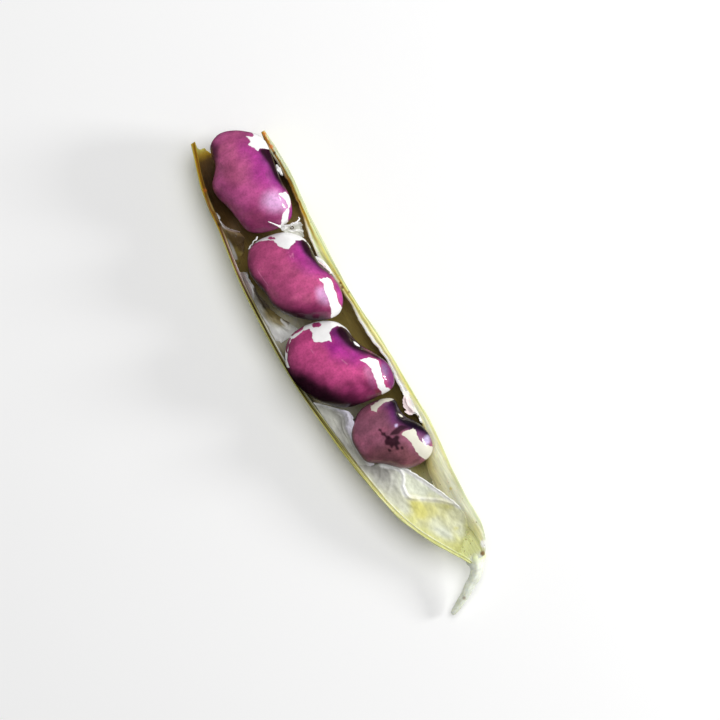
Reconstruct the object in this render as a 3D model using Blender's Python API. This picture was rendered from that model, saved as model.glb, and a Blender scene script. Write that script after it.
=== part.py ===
"""An opened bean pod lying on its side, in metres: one valve of the pod with its stalk, the papery
lining that has come loose inside it, and the four mottled beans that still lie in it.

+X runs along the pod from the stalk to the torn tip, +Y towards the thin back seam, and +Z up. The
origin is the middle of the flat on the valve's belly, which the pod rests on.
"""

import math

import bmesh
import bpy
from mathutils import Matrix, Vector

MM = 0.001

# The two seams seen from above, as (x, y) in millimetres. The beans hang on the front seam.
BACK_SEAM = [(-42, -1.3), (-38, 1.0), (-34, 3.0), (-30, 4.4), (-22, 5.9), (-14, 7.0), (-5, 7.9),
             (4, 7.6), (12, 7.2), (20, 6.0), (27, 5.0), (34, 2.8)]
FRONT_SEAM = [(-42, -3.9), (-40.5, -5.0), (-38, -5.8), (-32, -5.95), (-22, -6.9), (-6, -7.0),
              (2, -6.6), (10, -6.8), (17, -7.2), (22, -7.9), (30, -7.7)]
# Heights of the seams and of the belly's lowest line, as (x, z). Below zero it is cut off flat.
BACK_SEAM_HEIGHT = [(-42, 4.3), (-34, 4.9), (-20, 4.9), (-5, 4.2), (8, 4.8), (34, 4.9)]
FRONT_SEAM_HEIGHT = [(-42, 4.3), (-32, 4.8), (-20, 4.3), (2, 4.4), (14, 4.8), (24, 4.4), (34, 4.8)]
BELLY_HEIGHT = [(-42, 3.1), (-38, 1.7), (-32, 0.6), (-24, -0.1), (-16, -0.25), (20, -0.25),
                (28, 0.1), (34, 0.5)]
BELLY_SHARE = 0.5  # where the belly lies between the seams, from the front one
SECTION_POWER = 0.8  # 1 makes each half of the section an ellipse, and less makes it fuller

VALVE_BASE_X = -42.0
TORN_EDGE_X = 30.0  # the middle of the torn edge
TORN_EDGE_SKEW = 1.9  # how much further the back seam reaches than the front one
HORN_LENGTH = 1.8  # each seam runs on past the torn edge as a point
HORN_POWER = 8  # more makes the points narrower
TEAR_DEPTH = 0.35  # how far the torn edge wanders
TEAR_POWER = 6  # more keeps the stations square to the pod until nearer its torn edge

WALL_AT_BELLY = 0.8
WALL_AT_BACK_SEAM = 0.75
FRONT_SEAM_WALL = [(-42, 0.9), (-30, 1.2), (-12, 1.3), (-2, 1.5), (6, 1.4), (14, 1.1), (31, 0.8)]
SEAM_CREST = 0.25  # how far a seam's rounded crest rises
SEAM_WALL_MOST = 0.35  # of the half width, where the pod narrows to its stalk
CHAMBER_SWELL = 0.3  # the wall bulges out round each bean
CHAMBER_LENGTH = 5.0

VALVE_STATIONS = 44
VALVE_COLUMNS = 18
SHARP_EDGE = 50  # degrees

# The beans from above. A radius is given every 30 degrees, counted from the bean's long axis.
BEANS = {
    "bean_tip": {
        "centre": (24.3, -1.9), "height": 6.0, "turn": 3, "half_thick": 4.1,
        "radii": (8.5, 5.9, 5.7, 5.3, 5.4, 7.7, 8.2, 6.9, 4.8, 4.7, 6.0, 7.5),
    },
    "bean_second": {
        "centre": (8.4, -0.3), "height": 5.9, "turn": 24, "half_thick": 4.1,
        "radii": (8.0, 6.6, 5.0, 5.3, 5.9, 6.9, 8.4, 6.4, 4.6, 4.8, 6.3, 7.2),
    },
    "bean_third": {
        "centre": (-6.1, 1.0), "height": 5.9, "turn": 37, "half_thick": 4.2,
        "radii": (8.1, 7.0, 5.9, 5.7, 6.3, 6.9, 8.9, 7.1, 5.0, 5.4, 6.8, 7.6),
    },
    "bean_base": {
        "centre": (-19.3, -0.7), "height": 5.4, "turn": 36, "half_thick": 3.5,
        "radii": (5.9, 5.6, 5.2, 4.6, 4.6, 5.8, 6.7, 5.6, 4.2, 4.1, 5.7, 5.8),
    },
}
BEAN_RADII = 12
BEAN_SPHERE_DIVISIONS = 4
BEAN_DOME = (0.15, 0.85)  # how far out from its top a bean starts and ends taking its outline's shape

# The cords that held the beans, as (x, y) where each leaves the front seam and where it ends.
FUNICLES = [((13.5, -6.4), (14.5, -4.9)), ((7.2, -6.2), (8.8, -5.3)), ((-2.6, -6.3), (-3.5, -4.8)),
            ((-14.9, -6.4), (-15.9, -5.3))]
FUNICLE_HEIGHTS = (4.3, 4.9)
FUNICLE_RADII = (0.7, 0.4)
FUNICLE_SIDES = 8

# The stalk's middle line as (x, y, z) and its radius there.
STALK = [
    (-42.35, -2.6, 3.6, 1.2), (-43.1, -2.5, 3.6, 1.05), (-43.8, -1.7, 3.4, 0.94),
    (-44.7, -0.3, 3.0, 0.86), (-45.7, 1.5, 2.4, 0.8), (-46.3, 3.1, 1.8, 0.72),
    (-46.8, 4.6, 1.3, 0.62),
]
STALK_SIDES = 14
STALK_STEPS = 4  # rings between two points of its line

# The loose sheets of lining. Each has its x range, the columns of the valve that its front and back
# edges follow, as (x, column), and how much higher the front edge stands off the wall.
LININGS = {
    "lining_base": {
        "x": (-40.2, -25.5), "curl": 0.45,
        "front": [(-40.2, -0.45), (-36, -0.6), (-32, -0.35), (-28, -0.05), (-25.5, 0.2)],
        "back": [(-40.2, 0.35), (-36, 0.8), (-30, 0.85), (-25.5, 0.85)],
    },
    "lining_side": {
        "x": (-24.6, -9.6), "curl": 0.1,
        "front": [(-24.6, 0.5), (-20, 0.66), (-15, 0.6), (-12, 0.4), (-9.6, 0.6)],
        "back": [(-24.6, 0.85), (-9.6, 0.9)],
    },
    "lining_middle": {
        "x": (1.6, 13.4), "curl": 0.1,
        "front": [(1.6, 0.5), (4, 0.5), (8, 0.7), (13.4, 0.75)],
        "back": [(1.6, 0.86), (13.4, 0.9)],
    },
    "lining_tip": {
        "x": (14.6, 25.2), "curl": 0.1,
        "front": [(14.6, 0.35), (17.5, 0.5), (21, 0.7), (25.2, 0.75)],
        "back": [(14.6, 0.86), (25.2, 0.9)],
    },
}
LINING_THICK = 0.35
LINING_GAP = 0.2
LINING_STEPS = (14, 6)
LINING_CURL_POWER = 3  # more keeps the lifted strip narrower

# Each material's colour and roughness.
POD_FINISH = ((0.62, 0.58, 0.20, 1), 0.55)
STALK_FINISH = ((0.78, 0.80, 0.58, 1), 0.6)
LINING_FINISH = ((0.80, 0.80, 0.72, 1), 0.5)
BEAN_FINISH = ((0.42, 0.07, 0.22, 1), 0.25)
BASE_BEAN_FINISH = ((0.24, 0.08, 0.12, 1), 0.25)


def smooth_value(knots, x):
    """The value at x of a smooth curve through the knots, each (x, value)."""
    x = min(max(x, knots[0][0]), knots[-1][0])
    slopes = [(b[1] - a[1]) / (b[0] - a[0]) for a, b in zip(knots, knots[1:])]
    tangents = [slopes[0]] + [(p + q) / 2 for p, q in zip(slopes, slopes[1:])] + [slopes[-1]]
    for i, (a, b) in enumerate(zip(knots, knots[1:])):
        if x <= b[0]:
            width = b[0] - a[0]
            t = (x - a[0]) / width
            return ((1 + 2 * t) * (1 - t) ** 2 * a[1] + t * (1 - t) ** 2 * width * tangents[i]
                    + t * t * (3 - 2 * t) * b[1] - t * t * (1 - t) * width * tangents[i + 1])


def chamber(x):
    """1 in the middle of a bean's chamber and 0 between two of them."""
    return max(math.exp(-(((x - bean["centre"][0]) / CHAMBER_LENGTH) ** 2)) for bean in BEANS.values())


def section(x):
    """The belly's (y, z) at x, and the (y, z) of the front and the back seam."""
    front, back = smooth_value(FRONT_SEAM, x), smooth_value(BACK_SEAM, x)
    belly_y = front + (back - front) * BELLY_SHARE
    return ((belly_y, smooth_value(BELLY_HEIGHT, x)), (front, smooth_value(FRONT_SEAM_HEIGHT, x)),
            (back, smooth_value(BACK_SEAM_HEIGHT, x)))


def section_shares(x, column):
    """How far out and how far up a column of the wall stands, and its bulge round a bean."""
    angle = abs(column) * math.pi / 2
    out, up = math.sin(angle) ** SECTION_POWER, 1 - abs(math.cos(angle)) ** SECTION_POWER
    return out, up, CHAMBER_SWELL * chamber(x) * math.sin(2 * angle) ** 2


def outer_point(x, column):
    """A point of the valve's outside; column runs from -1 on the front seam to 1 on the back one."""
    belly, front, back = section(x)
    seam = back if column > 0 else front
    out, up, swell = section_shares(x, column)
    y = belly[0] + (seam[0] - belly[0]) * out + math.copysign(swell, column)
    return Vector((x, y, max(0.0, belly[1] + (seam[1] - belly[1]) * up)))


def inner_point(x, column, lift=0.0):
    """A point of the valve's inside, or one that stands lift clear of it."""
    belly, front, back = section(x)
    seam = back if column > 0 else front
    half_width = abs(seam[0] - belly[0])
    wall = WALL_AT_BACK_SEAM if column > 0 else smooth_value(FRONT_SEAM_WALL, x)
    inner_half = half_width - min(wall, SEAM_WALL_MOST * half_width) - lift
    floor = belly[1] + WALL_AT_BELLY + lift
    out, up, swell = section_shares(x, column)
    return Vector((x, belly[0] + math.copysign(inner_half * out + swell, column),
                   floor + (seam[1] - floor) * up))


def torn_x(column):
    """Where the torn edge lies along the pod, column by column."""
    wander = math.sin(5 * column + 0.6) + 0.6 * math.sin(11 * column + 2)
    ragged = TEAR_DEPTH * wander * (1 - column * column)
    return TORN_EDGE_X + TORN_EDGE_SKEW * column + HORN_LENGTH * abs(column) ** HORN_POWER + ragged


def valve_loop(share):
    """The closed outline of the valve's wall, share of the way from its base to its torn edge."""
    columns = [2 * i / VALVE_COLUMNS - 1 for i in range(VALVE_COLUMNS + 1)]

    def x_at(column):
        straight = VALVE_BASE_X + (TORN_EDGE_X - VALVE_BASE_X) * share
        return straight + (torn_x(column) - TORN_EDGE_X) * share ** TEAR_POWER

    outer = [outer_point(x_at(c), c) for c in columns]
    inner = [inner_point(x_at(c), c) for c in reversed(columns)]
    crests = []
    for a, b in ((outer[-1], inner[0]), (inner[-1], outer[0])):
        crests.append((a + b) / 2 + Vector((0, 0, SEAM_CREST)))
    return outer + [crests[0]] + inner + [crests[1]]


def new_object(name, mesh_data, finish):
    """Makes an object of a mesh in millimetres, with a material of its own."""
    bmesh.ops.recalc_face_normals(mesh_data, faces=mesh_data.faces)
    mesh = bpy.data.meshes.new(name)
    mesh_data.to_mesh(mesh)
    mesh_data.free()
    mesh.transform(Matrix.Scale(MM, 4))
    mesh.shade_smooth()
    mesh.set_sharp_from_angle(angle=math.radians(SHARP_EDGE))
    material = bpy.data.materials.new(name)
    material.use_nodes = True
    shader = material.node_tree.nodes["Principled BSDF"]
    shader.inputs["Base Color"].default_value = finish[0]
    shader.inputs["Roughness"].default_value = finish[1]
    shader.inputs["Metallic"].default_value = 0.0
    mesh.materials.append(material)
    made = bpy.data.objects.new(name, mesh)
    bpy.context.scene.collection.objects.link(made)
    return made


def loft(mesh_data, loops):
    """Joins closed loops of equally many points, and returns their vertices."""
    rings = [[mesh_data.verts.new(p) for p in loop] for loop in loops]
    for a, b in zip(rings, rings[1:]):
        for i in range(len(a)):
            j = (i + 1) % len(a)
            mesh_data.faces.new((a[i], a[j], b[j], b[i]))
    return rings


def close_wall(mesh_data, ring):
    """Closes an end of the valve's wall, between its outside and its inside."""
    count = VALVE_COLUMNS + 1
    outer, crest_back = ring[:count], ring[count]
    inner, crest_front = ring[count + 1:2 * count + 1], ring[2 * count + 1]
    inner = list(reversed(inner))
    for i in range(VALVE_COLUMNS):
        mesh_data.faces.new((outer[i], outer[i + 1], inner[i + 1], inner[i]))
    mesh_data.faces.new((outer[-1], crest_back, inner[-1]))
    mesh_data.faces.new((outer[0], inner[0], crest_front))


def tube(name, points, sides, finish):
    """A round tapering rod through points of (x, y, z, radius), closed at both ends."""
    mesh_data = bmesh.new()
    loops = []
    for i, (x, y, z, radius) in enumerate(points):
        before, after = points[max(i - 1, 0)], points[min(i + 1, len(points) - 1)]
        along = (Vector(after[:3]) - Vector(before[:3])).normalized()
        side = along.cross(Vector((0, 0, 1))).normalized()
        up = side.cross(along)
        centre = Vector((x, y, z))
        turns = [2 * math.pi * k / sides for k in range(sides)]
        loops.append([centre + radius * (math.cos(a) * side + math.sin(a) * up) for a in turns])
    rings = loft(mesh_data, loops)
    mesh_data.faces.new(rings[0])
    mesh_data.faces.new(rings[-1])
    return new_object(name, mesh_data, finish)


def make_funicles():
    """The short cords on the front seam, in a collection of their own."""
    group = bpy.data.collections.new("funicles")
    bpy.context.scene.collection.children.link(group)
    for number, ends in enumerate(FUNICLES):
        points = [(*end, z, radius) for end, z, radius in zip(ends, FUNICLE_HEIGHTS, FUNICLE_RADII)]
        cord = tube(f"funicle_{number}", points, FUNICLE_SIDES, POD_FINISH)
        bpy.context.scene.collection.objects.unlink(cord)
        group.objects.link(cord)
    return group


def make_valve():
    """The valve's wall, with the cords grown out of its front seam."""
    mesh_data = bmesh.new()
    shares = [i / VALVE_STATIONS for i in range(VALVE_STATIONS + 1)]
    rings = loft(mesh_data, [valve_loop(share) for share in shares])
    close_wall(mesh_data, rings[0])
    close_wall(mesh_data, rings[-1])
    valve = new_object("pod_valve", mesh_data, POD_FINISH)
    group = make_funicles()
    union = valve.modifiers.new("funicles", "BOOLEAN")
    union.operation = "UNION"
    union.operand_type = "COLLECTION"
    union.collection = group
    union.solver = "EXACT"
    bpy.context.view_layer.objects.active = valve
    bpy.ops.object.modifier_apply(modifier=union.name)
    for cord in list(group.objects):
        bpy.data.objects.remove(cord)
    bpy.data.collections.remove(group)


def bean_radius(radii, angle):
    """The radius at an angle from the long axis, on a smooth closed curve through the radii."""
    place = (angle / (2 * math.pi) * BEAN_RADII) % BEAN_RADII
    i, t = int(place), place - int(place)
    a, b, c, d = (radii[(i + k) % BEAN_RADII] for k in (-1, 0, 1, 2))
    return 0.5 * (2 * b + (c - a) * t + (2 * a - 5 * b + 4 * c - d) * t * t
                  + (3 * b - a - 3 * c + d) * t ** 3)


def bean_point(bean, direction):
    """The bean's surface in a direction from its middle, before it is turned into place."""
    flat = math.hypot(direction.x, direction.y)
    angle = math.atan2(direction.y, direction.x)
    mean = sum(bean["radii"]) / BEAN_RADII
    outline = bean_radius(bean["radii"], angle)
    share = min(max((flat - BEAN_DOME[0]) / (BEAN_DOME[1] - BEAN_DOME[0]), 0.0), 1.0)
    radius = mean + (outline - mean) * share * share * (3 - 2 * share)
    return Vector((radius * direction.x, radius * direction.y, bean["half_thick"] * direction.z))


def make_bean(name, bean, finish):
    mesh_data = bmesh.new()
    bmesh.ops.create_icosphere(mesh_data, subdivisions=BEAN_SPHERE_DIVISIONS, radius=1.0)
    for vertex in mesh_data.verts:
        vertex.co = bean_point(bean, vertex.co.normalized())
    place = Vector((*bean["centre"], bean["height"]))
    turn = Matrix.Rotation(math.radians(bean["turn"]), 4, "Z")
    made = new_object(name, mesh_data, finish)
    made.matrix_world = Matrix.Translation(place * MM) @ turn
    return made


def stalk_points():
    """The stalk's line with its points brought closer together on a smooth curve."""
    steps = (len(STALK) - 1) * STALK_STEPS
    knots = [[(i, point[k]) for i, point in enumerate(STALK)] for k in range(4)]
    return [tuple(smooth_value(k, i / STALK_STEPS) for k in knots) for i in range(steps + 1)]


def make_lining(name, sheet):
    """A sheet that lies off the valve's inside, its front edge lifted."""
    mesh_data = bmesh.new()
    along, across = LINING_STEPS

    def point(i, j, height):
        x = sheet["x"][0] + (sheet["x"][1] - sheet["x"][0]) * i / along
        front, back = smooth_value(sheet["front"], x), smooth_value(sheet["back"], x)
        share = j / across
        lift = LINING_GAP + height + sheet["curl"] * (1 - share) ** LINING_CURL_POWER
        return inner_point(x, front + (back - front) * share, lift)

    loops = []
    for i in range(along + 1):
        under = [point(i, j, 0.0) for j in range(across + 1)]
        over = [point(i, j, LINING_THICK) for j in reversed(range(across + 1))]
        loops.append(under + over)
    rings = loft(mesh_data, loops)
    for ring in (rings[0], rings[-1]):
        for j in range(across):
            last = len(ring) - 1
            mesh_data.faces.new((ring[j], ring[j + 1], ring[last - j - 1], ring[last - j]))
    new_object(name, mesh_data, LINING_FINISH)


def clear_scene():
    for old in list(bpy.data.objects):
        bpy.data.objects.remove(old)


def main():
    clear_scene()
    make_valve()
    tube("stalk", stalk_points(), STALK_SIDES, STALK_FINISH)
    for name, bean in BEANS.items():
        make_bean(name, bean, BASE_BEAN_FINISH if name == "bean_base" else BEAN_FINISH)
    for name, sheet in LININGS.items():
        make_lining(name, sheet)


main()
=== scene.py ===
"""The looks of the opened bean pod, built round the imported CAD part.

Lengths are in millimetres until a mesh is made. The part's frame has +X along the pod from its stalk
to its torn tip, +Y towards the thin back seam and +Z up.
"""

import math

import bmesh
import bpy
import numpy as np
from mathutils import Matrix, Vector


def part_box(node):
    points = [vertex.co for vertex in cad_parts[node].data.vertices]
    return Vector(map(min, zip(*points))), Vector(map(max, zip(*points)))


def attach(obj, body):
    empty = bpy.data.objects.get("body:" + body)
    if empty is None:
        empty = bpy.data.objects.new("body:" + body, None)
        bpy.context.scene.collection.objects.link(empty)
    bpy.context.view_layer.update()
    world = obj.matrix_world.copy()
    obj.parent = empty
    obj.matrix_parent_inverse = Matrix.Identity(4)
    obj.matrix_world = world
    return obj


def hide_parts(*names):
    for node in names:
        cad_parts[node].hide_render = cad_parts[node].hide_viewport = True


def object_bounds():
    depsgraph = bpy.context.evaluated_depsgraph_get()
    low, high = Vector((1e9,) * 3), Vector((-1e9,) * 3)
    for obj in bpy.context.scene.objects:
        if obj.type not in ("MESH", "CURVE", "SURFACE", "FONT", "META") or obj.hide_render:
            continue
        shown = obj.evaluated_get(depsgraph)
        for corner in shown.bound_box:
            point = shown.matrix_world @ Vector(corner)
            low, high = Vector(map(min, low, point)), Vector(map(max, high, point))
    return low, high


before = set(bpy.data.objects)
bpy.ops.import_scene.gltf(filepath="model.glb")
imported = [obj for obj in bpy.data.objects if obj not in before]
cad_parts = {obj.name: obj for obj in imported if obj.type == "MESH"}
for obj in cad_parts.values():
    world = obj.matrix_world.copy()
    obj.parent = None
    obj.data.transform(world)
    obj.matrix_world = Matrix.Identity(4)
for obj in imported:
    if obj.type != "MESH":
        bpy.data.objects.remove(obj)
cad_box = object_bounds()

MM = 0.001

# The photograph's frame. It looks straight down, and its scale holds at EQUATOR_Z, a bean's widest level.
PIXEL_MM = 0.15
PHOTO_SIDE = 720
PHOTO_BASE = (478, 560)
PHOTO_TIP = (229, 137)
PART_BASE = (-42.0, -2.6)
EQUATOR_Z = 6.0
CAMERA_ABOVE = 500.0  # from that level to the camera
SENSOR_MM = 36.0

# The pod's seams from above as (x, y), and their heights and the belly's as (x, z). They lie close to
# the CAD part's.
BACK_SEAM = [
    (-42, -1.3), (-38, 1.1), (-34, 3.2), (-30, 4.65), (-22, 6.2), (-14, 7.15), (-5, 7.84), (4, 7.72),
    (12, 7.2), (20, 6.0), (27, 5.0), (34, 2.8)]
FRONT_SEAM = [
    (-42, -3.9), (-40.5, -5.0), (-38, -5.8), (-32, -5.95), (-22, -6.9), (-6, -7.0), (2, -6.6), (10, -6.8),
    (17, -7.2), (22, -7.9), (30, -7.7)]
BACK_SEAM_HEIGHT = [(-42, 4.3), (-34, 4.9), (-20, 4.9), (-5, 4.2), (8, 4.8), (34, 4.9)]
FRONT_SEAM_HEIGHT = [(-42, 4.3), (-32, 4.8), (-20, 4.3), (2, 4.4), (14, 4.8), (24, 4.4), (34, 4.8)]
BELLY_HEIGHT = [
    (-42, 3.1), (-38, 1.7), (-32, 0.6), (-24, -0.1), (-16, -0.25), (20, -0.25), (28, 0.1), (34, 0.5)]
BELLY_SHARE = 0.5
SECTION_POWER = 0.8
WALL_AT_BELLY = 0.8
WALL_AT_BACK_SEAM = 0.75
FRONT_SEAM_WALL = [
    (-42, 0.9), (-30, 1.2), (-20, 1.25), (-16.5, 1.6), (-13.5, 1.5), (-9, 1.15), (-5, 1.5), (-2, 1.35),
    (1, 1.05), (3.5, 1.15), (6, 1.35), (8.7, 1.75), (12, 1.6), (15, 1.15), (18, 0.9), (22, 1.1), (26, 1.05),
    (28.5, 0.8), (31, 0.4)]
FRONT_SEAM_FRAY = 0.08
FRAY_STARTS = (-20, -16)
FRAY_ENDS = (28, 22)
SEAM_WALL_MOST = 0.35
# Past the last bean the front wall slopes inwards below its seam, as (x, width). It drops by a share of
# that width, over the first part of the seam's own width.
FRONT_SLOPE = [(-42, 0), (-39, 0.5), (-34, 2.0), (-28, 2.4), (-25, 1.9), (-22.8, 0.7), (-20, 0)]
FRONT_SLOPE_MOST = 2.4
SLOPE_DROP = 0.5
SLOPE_SHARE = 0.62
CHAMBER_SWELL = 0.3
CHAMBER_LENGTH = 5.0
# How far the nose's flesh fills the inside, as (x, share of its depth), and how far it stays below the
# seams.
NOSE_FILL = [(-42, 1), (-39.5, 0.97), (-37.5, 0.75), (-35.5, 0.3), (-33, 0)]
NOSE_LIP = 0.03
# How much of each seam's cross profile shows, as (x, share).
BACK_RELIEF = [(-42, 0.2), (-30, 0.3), (-24, 1), (34, 1)]
FRONT_RELIEF = [(-42, 0.05), (-24, 0.05), (-15, 0.8), (-10, 1), (34, 1)]
VALVE_BASE_X = -42.0
TORN_EDGE_X = 30.0
TEAR_POWER = 6
# How far along the pod the torn edge lies, as (column, x), and the depth of its fine teeth.
TORN_EDGE = [
    (-1, 29.9), (-0.92, 28.7), (-0.6, 28.8), (-0.2, 29.6), (0.1, 30.1), (0.28, 30.9), (0.4, 31.7),
    (0.48, 32.3), (0.62, 32.3), (0.8, 32.6), (0.93, 33.2), (1, 33.7)]
TEAR_FRAY = 0.12
# How high the wall's threads and dents stand, outside and elsewhere.
THREAD_RELIEF = (0.07, 0.05)
DENT_RELIEF = (0.12, 0.03)
# A dark line painted along the inside of the back wall: its column and its width in columns.
GROOVE_COLUMN = 0.86
GROOVE_WIDTH = 0.06

# The valve's mesh: stations along it, columns across each face, and points across each seam.
STATIONS = 380
COLUMNS = 64
FRONT_BAND_POINTS = 21
BACK_BAND_POINTS = 15
# Each seam's cross profile, as (share across it, height). The front one starts inside, the back one outside.
FRONT_BAND = [
    (0, 0.0), (0.08, 0.1), (0.3, 0.13), (0.38, 0.03), (0.46, 0.18), (0.62, 0.27), (0.75, 0.21),
    (0.81, 0.15), (0.9, 0.22), (1, 0.0)]
BACK_BAND = [(0, 0.0), (0.12, 0.22), (0.28, 0.2), (0.45, -0.1), (0.66, -0.1), (0.84, 0.17), (1, 0.0)]

# Each bean's outline from above, in the photograph's pixels.
BEAN_OUTLINES = {
    "bean_tip": [(222, 132), (236, 130), (255, 133), (265, 140), (271, 152), (276, 165), (282, 180),
                 (288, 192), (292, 205), (291, 218), (280, 228), (262, 233), (248, 232), (238, 221),
                 (228, 208), (217, 197), (212, 186), (214, 175), (215, 165), (211, 155), (210, 146),
                 (214, 138)],
    "bean_second": [(250, 247), (262, 238), (283, 232), (300, 236), (308, 243), (313, 252), (320, 263),
                    (330, 273), (338, 283), (343, 295), (343, 306), (338, 315), (325, 320), (305, 320),
                    (288, 316), (274, 307), (265, 293), (255, 282), (248, 270), (247, 258)],
    "bean_third": [(285, 350), (290, 336), (303, 326), (320, 321), (335, 321), (346, 327), (353, 336),
                   (362, 345), (375, 353), (386, 361), (392, 370), (395, 382), (391, 390), (378, 397),
                   (362, 404), (345, 408), (325, 404), (308, 395), (295, 383), (287, 368)],
    "bean_base": [(352, 425), (358, 412), (372, 402), (386, 398), (395, 400), (400, 409), (406, 416),
                  (416, 421), (425, 428), (431, 438), (433, 449), (429, 458), (418, 466), (405, 469),
                  (390, 466), (376, 464), (366, 462), (358, 452), (352, 440)],
}
BEAN_CENTRES = {
    "bean_tip": (24.3, -1.9), "bean_second": (8.4, -0.3), "bean_third": (-6.1, 1.0),
    "bean_base": (-19.3, -0.7),
}
# Each bean's skin, its darker clouds, how far up its sides the painted shade reaches, its patches, and its
# material slot.
BEAN_SKINS = {
    "bean_tip": ("plum_pink", "maroon", 0.42, "patch_white", "bean"),
    "bean_second": ("rose_pink", "maroon", 0.85, "patch_white", "bean"),
    "bean_third": ("hot_pink", "maroon", 1.05, "patch_white", "bean"),
    "bean_base": ("dull_mauve", "mauve_brown", 0.8, "patch_cream", "base_bean"),
}
# The way to the beans' sides away from the light, which the painted shade on their lower sides darkens most.
PAINTED_SHADE_SIDE = (-0.7, 0.72)  # in the photograph, towards the beans' darker sides
BEAN_DOME = (0.15, 0.85)
BEAN_DIVISIONS = 7
# How far a bean's surface sinks at its lumps and its creases, besides a little all over.
BEAN_SINK = 0.06
BEAN_LUMPS = 0.07
BEAN_CREASES = 0.014
SCAR_GROOVE = 0.12
FAR_OUTSIDE = -9.0  # the distance of skin that is far from any white patch

# The white patches of each bean, in the photograph's pixels. Points past a bean's edge run down its side.
WHITE_PATCHES = {
    "bean_tip": [
        [(251.3, 132.2), (254.1, 135.1), (252.7, 137.2), (246.5, 136.8), (250.3, 140.1), (251.6, 142.7),
         (248.1, 145.4), (253.2, 148), (258.9, 152.1), (260.8, 148.7), (269, 149.4), (278, 147), (268, 128),
         (254, 124)],
        [(279, 194.9), (286.2, 192.3), (289.1, 194.9), (291.2, 199.2), (290.5, 207.8), (288.6, 208.8),
         (286.7, 201.1), (282.8, 197.8)],
        [(288.6, 208.8), (285.7, 210.7), (282.3, 215.5), (281.9, 224), (279, 230), (283, 238), (291, 226),
         (288.1, 221.2), (289.1, 214.5), (289.5, 209.7)],
    ],
    "bean_second": [
        [(247, 247.5), (254.1, 243.2), (261.8, 240.8), (268.5, 240.3), (273.3, 240.3), (276.1, 243.2),
         (280, 247.5), (288.6, 250.1), (290.5, 247.5), (293.8, 244.1), (296.2, 240.8), (302, 239.8),
         (306.7, 242.2), (310.6, 248), (313, 251.8), (320, 247), (308, 231), (284, 222), (256, 229),
         (240, 243)],
        [(318.7, 278.1), (321.6, 279.5), (327.8, 277.4), (331.1, 279.1), (334, 284.3), (334.5, 289.1),
         (337.8, 295.8), (338.3, 301.5), (341.2, 306.3), (344, 309), (348, 316), (340, 324), (331, 321),
         (331.8, 313), (330.2, 305.4), (327.8, 296.7), (324.4, 290.1), (324.4, 284.3), (321.1, 281.4)],
    ],
    "bean_third": [
        [(309.2, 328.7), (313, 333.5), (312.1, 337.3), (314, 342.1), (323.6, 342.1), (329.3, 340.2),
         (332, 342.1), (331.2, 337.3), (329.3, 333.5), (331.2, 329.7), (337, 326), (342.7, 326.6),
         (347.5, 329.9), (352.3, 334.9), (357, 333), (348, 318), (330, 311), (308, 315), (304, 328)],
        [(309.5, 328.9), (303.5, 330.6), (296.5, 336.6), (290.8, 339.5), (288.2, 347), (287.2, 354),
         (287.6, 361), (289.3, 367.5), (286.4, 368), (283.6, 352), (287, 335), (299, 323), (310, 317)],
        [(359.9, 359.8), (370.4, 357.2), (379.1, 360.3), (380, 366), (381.9, 373.7), (383.8, 380.4),
         (386.2, 387.1), (391.5, 390), (394, 397), (384, 401), (382.9, 395.7), (381.4, 390.9), (378.1, 388),
         (376.2, 381.3), (373.3, 375.6), (371.4, 368.9), (366.6, 364.1)],
    ],
    "bean_base": [
        [(370.6, 405.4), (378.3, 400.6), (384, 396), (393.6, 396), (394, 399.4), (391.7, 400.2), (384, 402),
         (380.2, 405.4), (376.8, 408.7), (376.8, 412), (371.1, 409.7)],
        [(401.4, 433.6), (405, 430.2), (409.3, 429.3), (413.2, 427.6), (415.4, 429.3), (417.1, 434.3),
         (419.3, 439.3), (423.6, 442.9), (429.3, 445.7), (436, 447.6), (438, 455), (432, 464), (426.4, 460),
         (422.1, 457.9), (417.9, 453.6), (415, 449.3), (412.1, 443.6), (408.6, 439.3), (405, 437.1)],
    ],
}
# Coloured islands inside a white patch.
ISLANDS = {
    "bean_tip": [],
    "bean_second": [
        [(267.8, 238.4), (270.5, 236.4), (274.6, 237.4), (275.2, 239.2), (270.5, 239.8)],
        [(252, 241.5), (254.5, 240), (256, 240.6), (253.4, 242.2)],
    ],
    "bean_third": [
        [(311.6, 325), (314, 322.6), (319, 322.4), (321.6, 324.6), (319, 327), (314, 327.4)],
        [(289.6, 335), (291.5, 330.4), (297.7, 326.9), (303.4, 325.6), (302.4, 329.9), (295.8, 333.2),
         (291, 336)],
        [(284.6, 350), (286.6, 341), (289.6, 337.2), (291, 338.3), (288.3, 346), (286.8, 353)],
    ],
    "bean_base": [],
}
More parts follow.
